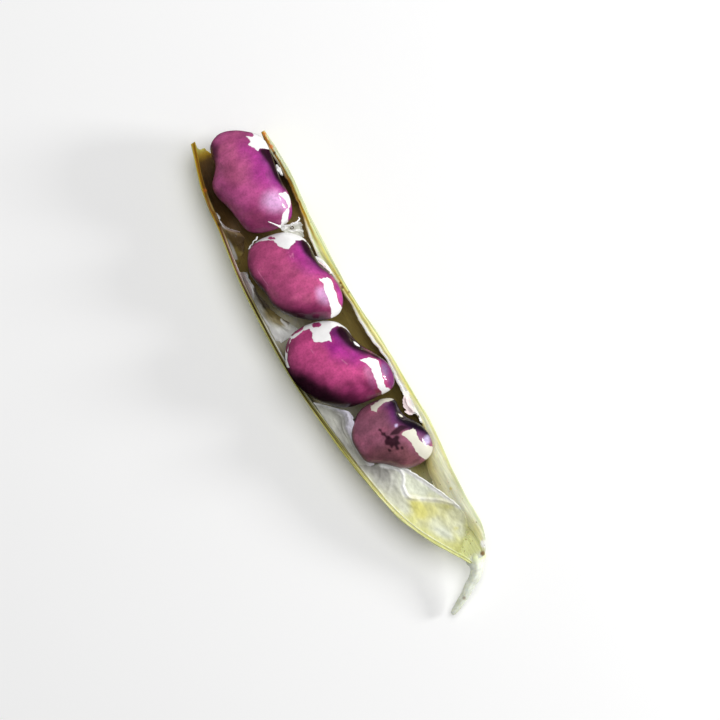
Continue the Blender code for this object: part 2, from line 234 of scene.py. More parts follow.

# Shaded stretches of each bean's skin: colour, softness of the edge in mm, strength, and the outline. Those
# marked below are painted highlights and painted shade; the rest are the skin's own colours.
SHADES = {
    "bean_tip": [
        ("dusty_rose", 3.0, 0.4, [(218, 150), (244, 144), (252, 164), (246, 184), (228, 180), (216, 166)]),
        ("magenta", 3.2, 0.6, [(244, 148), (262, 150), (272, 162), (287, 190), (276, 196), (258, 186),
         (250, 166)]),
        ("deep_violet", 1.6, 0.6, [(258, 150), (270, 156), (284, 180), (288, 194), (276, 186), (264, 168)]),
        # painted shade where the bean curves in beside the rim
        ("black_maroon", 0.7, 0.97, [(260, 150.5), (272, 149), (280, 162), (288, 180), (294, 194),
         (286, 191), (277, 179.5), (268.5, 164)]),
        # painted highlight
        ("painted_highlight_pink", 2.2, 0.95, [(266, 195), (275, 192.5), (284, 198), (287, 206), (282, 212), (272, 212),
         (265, 205)]),
        ("magenta", 0.7, 0.85, [(290, 207), (296, 204), (296, 224), (288.5, 221)]),
        # painted shade in the hollow of its left shoulder
        ("black_maroon", 1.5, 0.75, [(211, 145), (218, 147), (219.5, 154), (215, 162), (206, 160)]),
        # painted shade along its lower left edge
        ("black_maroon", 1.2, 0.85, [(206, 192), (214, 195), (221, 204), (234, 217), (242, 229), (248, 238),
         (228, 224), (208, 206)]),
        # painted shade along its bottom
        ("maroon", 2.6, 0.6, [(214, 190), (232, 206), (248, 214), (268, 213), (284, 218), (286, 236),
         (240, 236), (208, 204)]),
    ],
    "bean_second": [
        ("magenta", 3.0, 0.6, [(290, 250), (302, 246), (322, 266), (328, 275), (312, 274), (298, 266)]),
        ("deep_violet", 1.2, 0.7, [(297, 240), (306, 242), (320, 262), (330, 272), (318, 269), (304, 253)]),
        # painted shade where the bean curves in
        ("black_maroon", 0.8, 0.97, [(301, 241), (308, 240), (316, 250), (326, 264), (334, 274), (325, 271),
         (314, 261), (306, 253)]),
        # painted highlight
        ("painted_highlight_pink", 1.5, 0.85, [(318, 289), (325, 290), (329, 297), (328.5, 305), (322, 303),
         (317, 296)]),
        ("magenta", 0.8, 0.7, [(335, 282), (346, 292), (346, 304), (341, 304), (338, 294)]),
        # painted shade along its left edge, its bottom and its lower left edge
        ("maroon", 2.4, 0.6, [(244, 252), (252, 256), (254, 268), (262, 282), (250, 282), (242, 266)]),
        ("maroon", 3.4, 0.8, [(256, 284), (268, 294), (282, 302), (304, 306), (330, 308), (334, 326),
         (290, 326), (254, 300)]),
        ("black_maroon", 1.6, 0.9, [(246, 268), (254, 279), (264, 291), (274, 302), (288, 310), (306, 315),
         (328, 317), (326, 328), (284, 326), (246, 286)]),
        ("scratch", 0.12, 0.6, [(257, 269), (260, 274), (268, 285), (267.6, 285.6), (259.4, 274.8)]),
        ("scratch", 0.12, 0.7, [(288.6, 252), (291, 256.5), (293.4, 253), (294, 259), (292.4, 255.8),
         (291, 258.5)]),
    ],
    "bean_third": [
        ("magenta", 3.0, 0.75, [(326, 346), (336, 338), (352, 346), (368, 356), (356, 362), (338, 358)]),
        ("deep_violet", 1.4, 0.75, [(330, 330), (340, 328), (354, 338), (366, 350), (380, 357), (360, 354),
         (344, 346), (334, 338)]),
        # painted shade where the bean curves in
        ("black_maroon", 0.9, 0.97, [(338, 328), (345, 326), (353, 333), (362, 343), (372, 351), (386, 359),
         (374, 357.5), (359, 351.5), (346, 343.5), (339, 335)]),
        # painted highlights
        ("painted_highlight_pink", 1.0, 0.25, [(365, 368), (370, 369), (376, 383), (374, 391), (369, 380)]),
        ("painted_highlight_lavender", 0.9, 0.6, [(382.5, 365), (386.5, 366), (388.5, 374), (385, 376)]),
        ("deep_violet", 0.9, 0.75, [(381, 359), (397, 362), (400, 386), (391, 389), (386, 378)]),
        # painted shade along its lower left side and its bottom
        ("maroon", 3.6, 0.9, [(280, 352), (294, 361), (312, 369), (330, 378), (346, 386), (362, 389),
         (378, 387), (380, 412), (320, 416), (276, 384)]),
        ("black_maroon", 2.2, 0.95, [(278, 361), (292, 367.5), (306, 374), (320, 382), (334, 391),
         (350, 397), (366, 398), (382, 394), (380, 412), (320, 416), (272, 382)]),
        ("brown", 0.5, 0.8, [(375, 390), (380, 389.5), (382, 394), (378, 397)]),
        ("scratch", 0.14, 0.7, [(342.5, 359.5), (347.5, 363.6), (347, 364.4), (342, 360.4)]),
        ("scratch", 0.14, 0.6, [(311, 349), (314.6, 353), (314, 353.8), (310.6, 350)]),
    ],
    "bean_base": [
        ("deep_violet", 2.4, 0.85, [(382, 402), (396, 397), (412, 414), (428, 424), (434, 440), (424, 440),
         (408, 428), (392, 424), (386, 414)]),
        # painted shade where the bean curves in
        ("black_violet", 1.3, 0.98, [(389, 398), (398, 396), (406, 405), (411, 417), (424, 422), (434, 434),
         (428, 438), (420, 430), (408, 427), (397, 421), (393, 409)]),
        ("mauve_brown", 2.4, 0.75, [(366, 450), (380, 444), (394, 442), (412, 452), (424, 462), (415, 474),
         (378, 472), (360, 460)]),
        # the skin's own dark blotches
        ("black_maroon", 0.3, 0.85, [(377.6, 429.8), (379, 428), (381.4, 429), (382, 431.4), (385, 431.8),
         (386, 434.4), (389.2, 435.2), (389.4, 438), (386, 438.2), (384, 435.8), (380.8, 434.6),
         (380.4, 431.8)]),
        ("black_maroon", 0.35, 0.9, [(384.2, 441.4), (385.6, 437.8), (389.6, 436), (392.6, 437.4),
         (396, 434.8), (399.4, 436.4), (398.4, 440), (400.2, 443.2), (397.6, 445.2), (398.8, 448.8),
         (396.4, 449.2), (394.2, 445.6), (391.6, 448), (389, 445.2), (385.4, 444.8)]),
        ("black_maroon", 0.35, 0.85, [(389.6, 434.6), (391.8, 431), (395.4, 428), (400, 425), (405, 425.4),
         (408, 427), (404, 429.2), (400.6, 431.4), (398.2, 433.8), (394, 434.4)]),
        ("black_maroon", 0.2, 0.8, [(387.6, 448.8), (390, 448.6), (391, 450.8), (388.8, 451.4)]),
        ("black_maroon", 0.2, 0.8, [(400.6, 446.6), (402.6, 446.2), (403.2, 448.6), (401.4, 449)]),
        # painted highlights
        ("painted_highlight_lavender", 0.7, 0.85, [(423.5, 440), (426, 436), (429.5, 436), (430, 442), (425.5, 445)]),
        ("painted_highlight_lavender", 0.35, 0.9, [(394.6, 424.2), (397.4, 423.6), (397.2, 426.2), (395, 426.6)]),
    ],
}
# The scar where each bean hung: its middle in pixels, the way it runs in degrees there, and its half sizes.
HILA = {"bean_third": ((357.2, 343.4), 40, (0.62, 0.15)), "bean_base": ((401, 415), 38, (0.42, 0.18))}

SHADE_STEPS = 4
SHADE_WOBBLE = 0.25

COLOURS = {
    "plum_pink": (186, 82, 140), "rose_pink": (190, 80, 130), "hot_pink": (206, 80, 140),
    "dusty_rose": (206, 108, 142), "maroon": (112, 26, 74), "black_maroon": (34, 4, 20),
    "magenta": (172, 34, 150), "deep_violet": (90, 24, 100), "black_violet": (18, 6, 26),
    "painted_highlight_pink": (232, 176, 226), "scratch": (226, 130, 176), "painted_highlight_lavender": (206, 192, 232),
    "brown": (112, 48, 54), "dull_mauve": (150, 90, 112), "mauve_brown": (116, 70, 74),
    "patch_white": (255, 255, 254), "patch_cream": (226, 223, 206), "band_white": (250, 249, 242),
    "band_yellow": (214, 206, 104), "band_green": (204, 212, 156), "band_grey": (200, 207, 176),
    "band_pale": (228, 224, 164), "band_brown": (140, 96, 28), "band_ochre": (190, 154, 40),
    "band_orange": (214, 130, 60), "band_rust": (130, 92, 46), "band_olive": (170, 166, 92),
    "groove": (72, 52, 22), "rim_cream": (226, 228, 200), "nose_green": (216, 220, 154),
    "nose_yellow": (214, 214, 136), "outside": (200, 196, 112), "outside_pale": (218, 216, 160),
    "wall_dark": (84, 62, 40), "wall_olive": (148, 130, 70), "wall_grey": (196, 192, 168),
    "wall_tan": (196, 174, 108), "wall_cream": (246, 245, 208), "wall_pale": (226, 216, 146),
    "wall_yellow": (230, 214, 112), "wall_brown": (112, 84, 44), "scar": (122, 84, 40),
    "stalk": (234, 239, 224), "stalk_green": (214, 222, 158), "slit": (30, 22, 18), "film": (231, 235, 213),
    "film_white": (255, 255, 254), "film_grey": (206, 206, 196), "film_dim": (158, 156, 150),
    "film_lilac": (240, 236, 250), "film_pink": (244, 218, 220), "film_brown": (166, 138, 98),
    "film_yellow": (218, 212, 112), "floor": (253, 253, 253),
}


def linear(name):
    """A named colour as linear light."""
    share = np.array(COLOURS[name]) / 255
    return np.where(share <= 0.04045, share / 12.92, ((share + 0.055) / 1.055) ** 2.4)


def on_part(pixels, z=EQUATOR_Z):
    """Where points of the photograph lie on the part, as (x, y) at the height z."""
    pixels = np.asarray(pixels, float)
    middle = np.array([PHOTO_SIDE / 2, PHOTO_SIDE / 2])
    nearer = 1 - (np.asarray(z, float)[..., None] - EQUATOR_Z) / CAMERA_ABOVE
    seen = middle + (pixels - middle) * nearer - PHOTO_BASE
    along = np.array([PHOTO_TIP[0] - PHOTO_BASE[0], PHOTO_BASE[1] - PHOTO_TIP[1]], float)
    along /= np.hypot(*along)
    x = seen[..., 0] * along[0] - seen[..., 1] * along[1]
    y = -seen[..., 0] * along[1] - seen[..., 1] * along[0]
    return np.stack([x, y], -1) * PIXEL_MM + PART_BASE


def smooth_value(knots, x):
    """The value at x of a smooth curve through the knots, each (x, value)."""
    knots = np.asarray(knots, float)
    at, value = knots[:, 0], knots[:, 1]
    x = np.clip(x, at[0], at[-1])
    widths = np.diff(at)
    slopes = np.diff(value) / widths
    tangents = np.concatenate([slopes[:1], (slopes[:-1] + slopes[1:]) / 2, slopes[-1:]])
    i = np.clip(np.searchsorted(at, x) - 1, 0, len(widths) - 1)
    t = (x - at[i]) / widths[i]
    return ((1 + 2 * t) * (1 - t) ** 2 * value[i] + t * (1 - t) ** 2 * widths[i] * tangents[i]
            + t * t * (3 - 2 * t) * value[i + 1] - t * t * (1 - t) * widths[i] * tangents[i + 1])


def smoothstep(low, high, value):
    t = np.clip((value - low) / (high - low), 0, 1)
    return t * t * (3 - 2 * t)


def colours_along(stops, x):
    """Linear colours at x, between stops of (x, colour name)."""
    at = [stop[0] for stop in stops]
    table = np.array([linear(stop[1]) for stop in stops])
    return np.stack([np.interp(x, at, table[:, k]) for k in range(3)], -1)


def mix(a, b, share):
    return a + (b - a) * np.asarray(share)[..., None]


def painted(tint, name, share):
    """Colours with a named one laid over them by a share."""
    return mix(tint, linear(name), share)


def shaded(tint, skin, shades, wobble):
    """Colours at the points of a skin, with shades laid over them in outlines that wobble."""
    for colour, soft, strength, outline in shades:
        depth = inside_distance(skin, closed_curve(on_part(outline), SHADE_STEPS)) + soft * wobble
        tint = painted(tint, colour, strength * smoothstep(-0.5 * soft, 0.5 * soft, depth))
    return tint


def unit(vectors):
    """Vectors along the last axis, made 1 long."""
    return vectors / np.linalg.norm(vectors, axis=-1, keepdims=True)


def lattice(cells, seed):
    """A repeatable random value from -1 to 1 for each cell of whole numbers."""
    cells = cells.astype(np.int64)
    mixed = cells[..., 0] * 374761393 + cells[..., 1] * 668265263 + cells[..., 2] * 1440662683
    mixed = (mixed + seed * 974634777) & 0xFFFFFFFF
    mixed = ((mixed ^ (mixed >> 13)) * 1274126177) & 0xFFFFFFFF
    return ((mixed ^ (mixed >> 16)) & 0xFFFF) / 32767.5 - 1


def noise(points, seed, octaves=3):
    """Smooth noise from about -1 to 1 at points (n, 3), with one bump to a unit at first."""
    total, size = 0.0, 1.0
    for octave in range(octaves):
        base = np.floor(points)
        t = points - base
        t = t * t * (3 - 2 * t)
        value = 0.0
        for corner in np.ndindex(2, 2, 2):
            weight = np.prod(np.where(corner, t, 1 - t), -1)
            value = value + weight * lattice(base + corner, seed + octave)
        total = total + value * size
        points, size = points * 2.03 + 7.1, size / 2
    return total


def closed_curve(points, steps=12):
    """A smooth closed line through points (n, 2)."""
    a, b, c, d = (np.roll(points, 1 - k, 0)[:, None] for k in range(4))
    t = (np.arange(steps) / steps)[None, :, None]
    line = 0.5 * (2 * b + (c - a) * t + (2 * a - 5 * b + 4 * c - d) * t * t
                  + (3 * b - a - 3 * c + d) * t ** 3)
    return line.reshape(-1, points.shape[1])


def open_curve(points, count):
    """count points along a smooth open line through points (n, k), by their order."""
    points = np.asarray(points, float)
    order = np.arange(len(points))
    at = np.linspace(0, len(points) - 1, count)
    return np.stack([smooth_value(np.stack([order, points[:, k]], -1), at)
                     for k in range(points.shape[1])], -1)


def segment_gaps(points, starts, along):
    """Each point's offset from the start of each segment, and how far it lies from the nearest one."""
    offset = points[:, None] - starts[None]
    t = np.clip((offset * along).sum(-1) / (along * along).sum(-1), 0, 1)
    return offset, np.linalg.norm(offset - t[..., None] * along, axis=-1).min(1)


def line_distance(points, line):
    """How far each point lies from an open line."""
    return segment_gaps(points, line[:-1], np.diff(line, axis=0))[1]


def inside_distance(points, outline):
    """How far inside a closed outline each point lies; negative outside."""
    a, b = outline, np.roll(outline, -1, 0)
    along = b - a
    offset, distance = segment_gaps(points, a, along)
    above_a = a[None, :, 1] > points[:, None, 1]
    above_b = b[None, :, 1] > points[:, None, 1]
    rise = np.where(along[:, 1] == 0, 1.0, along[:, 1])
    cross_x = a[None, :, 0] + offset[..., 1] / rise * along[:, 0]
    crossings = ((above_a != above_b) & (points[:, None, 0] < cross_x)).sum(1)
    return np.where(crossings % 2 == 1, distance, -distance)


def grid_faces(rows, columns):
    """The faces of a grid of points, row after row, with its last column joined to its first."""
    i, j = np.meshgrid(np.arange(rows - 1), np.arange(columns), indexing="ij")
    k = (j + 1) % columns
    return np.stack([i * columns + j, i * columns + k, (i + 1) * columns + k, (i + 1) * columns + j],
                    -1).reshape(-1, 4)


def grid_normals(grid, wrap):
    """Unit normals of a grid of points (rows, columns, 3)."""
    along = np.gradient(grid, axis=0)
    if wrap:
        across = np.roll(grid, -1, 1) - np.roll(grid, 1, 1)
    else:
        across = np.gradient(grid, axis=1)
    normal = np.cross(along, across)
    return normal / np.maximum(np.linalg.norm(normal, axis=-1, keepdims=True), 1e-9)


def new_piece(name, points, faces, material, tint, values=None):
    """A smooth closed mesh from points in millimetres, with a colour and other values at each point.

    Its faces are turned outwards, by the sign of its volume.
    """
    mesh = bpy.data.meshes.new(name)
    mesh.from_pydata(np.asarray(points) * MM, [], faces)
    shell = bmesh.new()
    shell.from_mesh(mesh)
    if shell.calc_volume(signed=True) < 0:
        bmesh.ops.reverse_faces(shell, faces=shell.faces)
        shell.to_mesh(mesh)
    shell.free()
    mesh.shade_smooth()
    colours = np.ones((len(points), 4), np.float32)
    colours[:, :3] = np.clip(tint, 0, 1)
    mesh.attributes.new("tint", "FLOAT_COLOR", "POINT").data.foreach_set("color", colours.ravel())
    for key, value in (values or {}).items():
        mesh.attributes.new(key, "FLOAT", "POINT").data.foreach_set("value", value.astype(np.float32))
    mesh.materials.append(material)
    piece = bpy.data.objects.new(name, mesh)
    bpy.context.scene.collection.objects.link(piece)
    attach(piece, "root")
    return piece


# Where a noise node's values mostly lie.
NOISE_RANGE = (0.3, 0.7)


class Finish:
    """A material's nodes. Its texture space is the part's own, in millimetres."""

    def __init__(self, name):
        self.material = bpy.data.materials.new(name)
        self.material.use_nodes = True
        self.tree = self.material.node_tree
        self.shader = self.tree.nodes["Principled BSDF"]
        self.place = self.node("ShaderNodeTexCoord").outputs["Object"]

    def node(self, kind, **settings):
        made = self.tree.nodes.new(kind)
        for key, value in settings.items():
            setattr(made, key, value)
        return made

    def link(self, source, target):
        self.tree.links.new(source, target)

    def value(self, name):
        return self.node("ShaderNodeAttribute", attribute_name=name).outputs["Fac"]

    def tint(self):
        return self.node("ShaderNodeAttribute", attribute_name="tint").outputs["Color"]

    def noise(self, size, detail=4.0, stretch=(1, 1, 1)):
        """Noise from 0 to 1 with bumps of about size millimetres, drawn out by stretch."""
        mapping = self.node("ShaderNodeMapping")
        mapping.inputs["Scale"].default_value = [1 / (MM * size * s) for s in stretch]
        self.link(self.place, mapping.inputs["Vector"])
        texture = self.node("ShaderNodeTexNoise")
        texture.inputs["Scale"].default_value = 1.0
        texture.inputs["Detail"].default_value = detail
        self.link(mapping.outputs["Vector"], texture.inputs["Vector"])
        return texture.outputs["Fac"]

    def spread(self, size, detail, low, high, stretch=(1, 1, 1)):
        """Noise that runs from low to high."""
        return self.range(self.noise(size, detail, stretch), *NOISE_RANGE, low, high)

    def range(self, value, low, high, to_low=0.0, to_high=1.0):
        """Moves a value from one range to another, held within it."""
        made = self.node("ShaderNodeMapRange")
        for key, number in zip(("From Min", "From Max", "To Min", "To Max"), (low, high, to_low, to_high)):
            made.inputs[key].default_value = number
        self.link(value, made.inputs["Value"])
        return made.outputs["Result"]

    def math(self, operation, a, b):
        made = self.node("ShaderNodeMath", operation=operation)
        for socket, item in zip(made.inputs, (a, b)):
            if isinstance(item, (int, float)):
                socket.default_value = item
            else:
                self.link(item, socket)
        return made.outputs["Value"]

    def mix(self, share, a, b):
        """Colours mixed by a share; a is a socket, and b a socket or a name from COLOURS."""
        made = self.node("ShaderNodeMix", data_type="RGBA", blend_type="MIX")
        self.link(a, made.inputs[6])
        if isinstance(b, str):
            made.inputs[7].default_value = (*linear(b), 1)
        else:
            self.link(b, made.inputs[7])
        self.link(share, made.inputs[0])
        return made.outputs[2]

    def shade(self, colour, factor):
        """A colour, from a socket or by its name in COLOURS, made darker or lighter by a factor."""
        made = self.node("ShaderNodeVectorMath", operation="SCALE")
        if isinstance(colour, str):
            made.inputs[0].default_value = linear(colour)
        else:
            self.link(colour, made.inputs[0])
        self.link(factor, made.inputs["Scale"])
        return made.outputs[0]

    def bump(self, heights, distance):
        """Bumps from a height of 0 to 1, distance millimetres high."""
        made = self.node("ShaderNodeBump")
        made.inputs["Distance"].default_value = distance * MM
        self.link(heights, made.inputs["Height"])
        self.link(made.outputs["Normal"], self.shader.inputs["Normal"])

    def set(self, **numbers):
        """Sets the shader's own sockets; an underscore stands for a space."""
        for key, number in numbers.items():
            self.shader.inputs[key.replace("_", " ")].default_value = number


def bean_finish(name, patch_colour):
    """Glossy mottled skin with ragged white patches."""
    finish = Finish(name)
    mottle = finish.spread(1.7, 6, 0.72, 1.2, (0.8, 1.25, 1))
    fleck = finish.range(finish.noise(0.3, 3), 0.34, 0.56, 0.86, 1.04)
    streak = finish.spread(0.4, 5, 0.94, 1.07, (1, 3.2, 1))
    skin = finish.shade(finish.shade(finish.shade(finish.tint(), mottle), fleck), streak)
    ragged = finish.math("MULTIPLY", finish.math("SUBTRACT", finish.noise(0.6, 5), 0.5), 0.42)
    reach = finish.math("ADD", finish.value("white"), ragged)
    patch = finish.range(reach, -0.04, 0.06)
    patch_shade = finish.spread(1.1, 5, 0.94, 1.0)
    patch_skin = finish.shade(patch_colour, patch_shade)
    finish.link(finish.mix(patch, skin, patch_skin), finish.shader.inputs["Base Color"])
    finish.link(finish.spread(0.5, 4, 0.4, 0.55), finish.shader.inputs["Roughness"])
    heights = finish.math("ADD", finish.noise(0.9, 5), finish.math("MULTIPLY", patch, 0.25))
    finish.bump(heights, 0.025)
    finish.set(Specular_IOR_Level=0.3, Coat_Weight=0.5, Coat_Roughness=0.06)
    return finish.material


def pod_finish(name):
    """The dry fibrous wall, with threads along it."""
    finish = Finish(name)
    thread = finish.spread(0.22, 4, 0.9, 1.1, (14, 1, 1))
    cloud = finish.spread(2.2, 5, 0.88, 1.1, (2, 1, 1))
    colour = finish.shade(finish.shade(finish.tint(), thread), cloud)
    speck = finish.range(finish.noise(0.4, 2), 0.68, 0.74, 0.0, 0.65)
    finish.link(finish.mix(speck, colour, "scar"), finish.shader.inputs["Base Color"])
    finish.link(finish.spread(0.6, 4, 0.42, 0.66), finish.shader.inputs["Roughness"])
    heights = finish.math("ADD", finish.noise(0.2, 4, (12, 1, 1)), finish.noise(0.5, 5))
    finish.bump(heights, 0.045)
    finish.set(Coat_Weight=0.05, Coat_Roughness=0.4, Subsurface_Weight=0.35, Subsurface_Scale=MM,
               Subsurface_Radius=(1.6, 1.4, 0.7))
    return finish.material


def stalk_finish(name):
    """The pale stalk, with fine ribs along it."""
    finish = Finish(name)
    rib = finish.spread(0.25, 4, 0.88, 1.08, (1, 5, 3))
    cloud = finish.spread(1.4, 5, 0.9, 1.08)
    colour = finish.shade(finish.shade(finish.tint(), rib), cloud)
    finish.link(colour, finish.shader.inputs["Base Color"])
    finish.link(finish.spread(0.5, 4, 0.45, 0.65), finish.shader.inputs["Roughness"])
    finish.bump(finish.math("ADD", finish.noise(0.2, 4, (1, 4, 3)), finish.noise(0.6, 4)), 0.03)
    finish.set(Coat_Weight=0.12, Coat_Roughness=0.3, Subsurface_Weight=0.3, Subsurface_Scale=MM,
               Subsurface_Radius=(1.2, 1.1, 0.7))
    return finish.material


def film_finish(name):
    """Thin papery lining, which shows what lies under it."""
    finish = Finish(name)
    crease = finish.spread(0.4, 6, 0.9, 1.06, (1.6, 1, 1))
    finish.link(finish.shade(finish.tint(), crease), finish.shader.inputs["Base Color"])
    cloud = finish.spread(1.0, 5, -0.12, 0.12, (1.6, 1, 1))
    cover = finish.range(finish.math("ADD", finish.value("cover"), cloud), 0.0, 1.0)
    finish.link(cover, finish.shader.inputs["Alpha"])
    finish.link(finish.spread(0.4, 4, 0.25, 0.5), finish.shader.inputs["Roughness"])
    finish.bump(finish.math("ADD", finish.noise(0.35, 5, (2, 1, 1)), finish.noise(1.2, 4)), 0.05)
    finish.set(Coat_Weight=0.2, Coat_Roughness=0.25)
    return finish.material


def floor_finish():
    finish = Finish("studio_floor")
    shade = finish.spread(40, 3, 0.995, 1.0)
    finish.link(finish.shade("floor", shade), finish.shader.inputs["Base Color"])
    finish.set(Roughness=0.9)
    return finish.material


def seam_points(x):
    """The belly's (y, z) at x, and the front and back seams' (y, z)."""
    front, back = smooth_value(FRONT_SEAM, x), smooth_value(BACK_SEAM, x)
    return ((front + (back - front) * BELLY_SHARE, smooth_value(BELLY_HEIGHT, x)),
            (front, smooth_value(FRONT_SEAM_HEIGHT, x)), (back, smooth_value(BACK_SEAM_HEIGHT, x)))


def swell_at(x):
    """1 in the middle of a bean's chamber and 0 between two of them."""
    return np.max([np.exp(-(((x - c[0]) / CHAMBER_LENGTH) ** 2)) for c in BEAN_CENTRES.values()], 0)


def wall_section(x, column):
    """How far out and up a column of the wall stands, its bulge, and the seam that it runs to."""
    angle = np.abs(column) * math.pi / 2
    out, up = np.sin(angle) ** SECTION_POWER, 1 - np.abs(np.cos(angle)) ** SECTION_POWER
    swell = np.sign(column) * CHAMBER_SWELL * swell_at(x) * np.sin(2 * angle) ** 2
    belly, front, back = seam_points(x)
    seam = [np.where(column > 0, back[k], front[k]) for k in range(2)]
    return out, up, swell, belly, seam


def outer_point(x, column):
    out, up, swell, belly, seam = wall_section(x, column)
    y = belly[0] + (seam[0] - belly[0]) * out + swell
    return np.stack([x, y, np.maximum(0.0, belly[1] + (seam[1] - belly[1]) * up)], -1)


def slope_width(x, back):
    """How wide the front wall's slope is; the back side has none."""
    return np.where(back, 0, smooth_value(FRONT_SLOPE, x))


def inner_half(x, back):
    """Half the inside's width at a seam's level, on the back or the front side."""
    belly, front, rear = seam_points(x)
    half = np.where(back, rear[0] - belly[0], belly[0] - front[0])
    fray = noise(np.stack([1.4 * x, 0 * x, 0 * x], -1), 17, 3)
    fray = fray * smoothstep(*FRAY_STARTS, x) * smoothstep(*FRAY_ENDS, x)
    wall = np.where(back, WALL_AT_BACK_SEAM, smooth_value(FRONT_SEAM_WALL, x) + FRONT_SEAM_FRAY * fray)
    return half - np.minimum(wall, SEAM_WALL_MOST * half) - slope_width(x, back)


def inner_point(x, column):
    out, up, swell, belly, seam = wall_section(x, column)
    back = column > 0
    y = belly[0] + np.sign(column) * inner_half(x, back) * out + swell
    return np.stack([x, y, inner_height(x, back, belly[1], seam[1], softened(x, back, out, up))], -1)


def inner_height(x, back, belly_z, seam_z, up):
    """The inside's height from its floor to its seam's inner edge, with the nose's flesh."""
    floor = belly_z + WALL_AT_BELLY
    z = floor + (seam_z - SLOPE_DROP * slope_width(x, back) - floor) * up
    _, front, rear = seam_points(x)
    filled = np.minimum(front[1] - SLOPE_DROP * slope_width(x, False), rear[1]) - NOSE_LIP
    return z + np.maximum(0, filled - z) * smooth_value(NOSE_FILL, x)


def softened(x, back, out, up):
    """How far up the inside stands, rounder below the sloping front wall."""
    return up + (out ** 2 - up) * (slope_width(x, back) / FRONT_SLOPE_MOST)


def wall_height(x, y):
    """The height of the valve's inside at (x, y)."""
    belly, front, rear = seam_points(x)
    back, across = y > belly[0], np.abs(y - belly[0])
    half = inner_half(x, back)
    out = np.clip(across / half, 0, 1)
    up = 1 - np.sqrt(np.maximum(0, 1 - out ** (2 / SECTION_POWER))) ** SECTION_POWER
    z = inner_height(x, back, belly[1], np.where(back, rear[1], front[1]), softened(x, back, out, up))
    return z + SLOPE_DROP * np.clip(across - half, 0, slope_width(x, back))


def torn_x(column):
    """Where the torn edge lies along the pod, column by column."""
    fray = np.sin(31 * column + 3 * np.sin(9 * column)) + 0.6 * np.sin(67 * column)
    return smooth_value(TORN_EDGE, column) + TEAR_FRAY * fray * (1 - column ** 8)


def valve_grid():
    """The valve's points, and for each its column, its face (0 outside, 1 inside) and its seam share."""
    share = (np.arange(STATIONS + 1) / STATIONS)[:, None]
    column = np.linspace(-1, 1, COLUMNS + 1)
    straight = VALVE_BASE_X + (TORN_EDGE_X - VALVE_BASE_X) * share
    x = straight + (torn_x(column) - TORN_EDGE_X) * share ** TEAR_POWER
    across = np.broadcast_to(column, x.shape)
    outer, inner = outer_point(x, across), inner_point(x, across)[:, ::-1]

    def band(start, end, profile, count, relief):
        t = (np.arange(1, count + 1) / (count + 1))[None, :, None]
        points = start[:, None] + (end - start)[:, None] * t
        points[..., 2] += smooth_value(profile, t[..., 0]) * smooth_value(relief, start[:, :1])
        drop = (end - start)[:, None, 2]
        flat_top = np.clip(1 - t[..., 0] / SLOPE_SHARE, 0, 1)
        points[..., 2] += np.where(drop > 0, drop * (1 - t[..., 0] - flat_top), 0)
        return points, np.broadcast_to(t[..., 0], points.shape[:2])

    back, back_share = band(outer[:, -1], inner[:, 0], BACK_BAND, BACK_BAND_POINTS, BACK_RELIEF)
    front, front_share = band(inner[:, -1], outer[:, 0], FRONT_BAND, FRONT_BAND_POINTS,
                              FRONT_RELIEF)
    zeros = np.zeros_like(x)
    grid = np.concatenate([outer, back, inner, front], 1)
    columns = np.concatenate([across, np.ones_like(back_share), across[:, ::-1],
                              -np.ones_like(front_share)], 1)
    face = np.concatenate([zeros, np.full_like(back_share, 0.5), zeros + 1,
                           np.full_like(front_share, 0.5)], 1)
    seam = np.concatenate([zeros, back_share, zeros, front_share], 1)
    return grid, columns, face, seam


